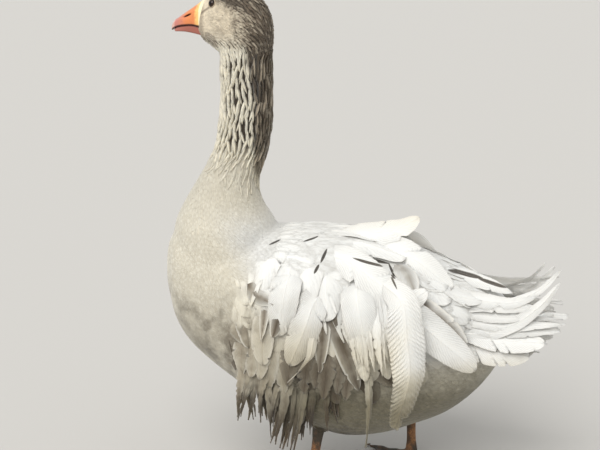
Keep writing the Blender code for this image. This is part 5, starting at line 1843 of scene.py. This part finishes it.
skin.data.materials.append(leg_finish())
skin.data.materials.append(lid_finish())
middles = read(skin.data.polygons, "center", 3)
slots = np.zeros(len(middles), np.int32)
for _, side, ankle_y, lean in LEGS:
    axis_y = ankle_y + lean * (middles[:, 2] - 0.008)
    near = np.hypot(middles[:, 0] - FOOT_HALF_TRACK * side, middles[:, 1] - axis_y) < 0.020
    slots[(near & (middles[:, 2] < 0.092)) | (middles[:, 2] < 0.030)] = 1
for side in (1, -1):
    away, reach, span = at_eye(middles, side)
    slots[(reach < 0.0115) & (away @ eye_axes(side)[1] > 0) & (span < 1.40)] = 2
skin.data.polygons.foreach_set("material_index", slots)
bake_map(skin.data, unwrapped(read(skin.data.vertices, "co", 3)))
print("skin slots:", np.bincount(slots))

# %% [markdown]
# ## The studio
# The bird stands on a plain pale floor under one large soft lamp and an even sky, so that the colours are its
# own. The camera looks at its left side from a little above and behind, and crops the crown and the feet.

# %% Every piece rides on the one body
def stands_for(piece, slot_name, *nodes):
    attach(piece, "root")
    if nodes:
        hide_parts(*nodes)


FLESH = ("trunk", "neck_lower", "neck_middle", "neck_upper", "head", "leg_left", "leg_right", "foot_left",
         "foot_right")
stands_for(skin, "coat_cream", *FLESH)
for piece in (coat_head, coat_neck, coat_breast, coat_belly, coat_back):
    stands_for(piece, "coat_cream")
stands_for(plume_pieces[0], "plumes_white", "wing_left")
stands_for(plume_pieces[1], "plumes_white", "wing_right")
stands_for(tail_piece, "plumes_white", "tail")
for piece in covert_pieces:
    stands_for(piece, "plumes_white")
for piece in lock_pieces:
    stands_for(piece, "coat_grey")
stands_for(bill_upper, "bill", "bill_upper")
stands_for(bill_lower, "bill", "bill_lower")
for number, side_name in enumerate(("left", "right")):
    stands_for(eyeballs[number], "eye", "eye_" + side_name)
    stands_for(claw_pieces[number], "claw", *(f"claw_{toe}_{side_name}" for toe, *_ in TOES))

# %% Floor, light and camera
floor_mesh = bmesh.new()
bmesh.ops.create_circle(floor_mesh, cap_ends=True, segments=96, radius=22.0)
floor_data = bpy.data.meshes.new("floor")
floor_mesh.to_mesh(floor_data)
floor_mesh.free()
floor = linked("floor", floor_data)
floor_data.materials.append(new_material("studio_floor", 0.9, Base_Color=(0.50, 0.49, 0.47, 1))[0])

sun_data = bpy.data.lights.new("overcast_sun", "SUN")
sun_data.energy = 2.85
sun_data.angle = math.radians(50.0)
sun_data.color = (1.0, 0.985, 0.96)
sun = linked("overcast_sun", sun_data)
sun.rotation_euler = Vector((0.92, -0.30, 0.92)).to_track_quat("Z", "Y").to_euler()

world = bpy.data.worlds.new("studio")
bpy.context.scene.world = world
world.use_nodes = True
world.node_tree.nodes["Background"].inputs[0].default_value = (0.82, 0.82, 0.81, 1)
world.node_tree.nodes["Background"].inputs[1].default_value = 0.90

AZIMUTH, ELEVATION, DISTANCE = math.radians(97.0), math.radians(12.0), 2.2
LOOK_AT = Vector((0.0, -0.104, 0.3825))
back = Vector((math.sin(AZIMUTH) * math.cos(ELEVATION), -math.cos(AZIMUTH) * math.cos(ELEVATION),
               math.sin(ELEVATION)))
camera_data = bpy.data.cameras.new("camera")
camera_data.sensor_width = 36.0
camera_data.lens = 88.0
camera_data.clip_end = 100.0
camera = linked("camera", camera_data)
camera.location = LOOK_AT + back * DISTANCE
camera.rotation_euler = (-back).to_track_quat("-Z", "Y").to_euler()
bpy.context.scene.camera = camera
bpy.context.scene.view_settings.view_transform = "Standard"
print("camera at", tuple(round(number, 2) for number in camera.location))
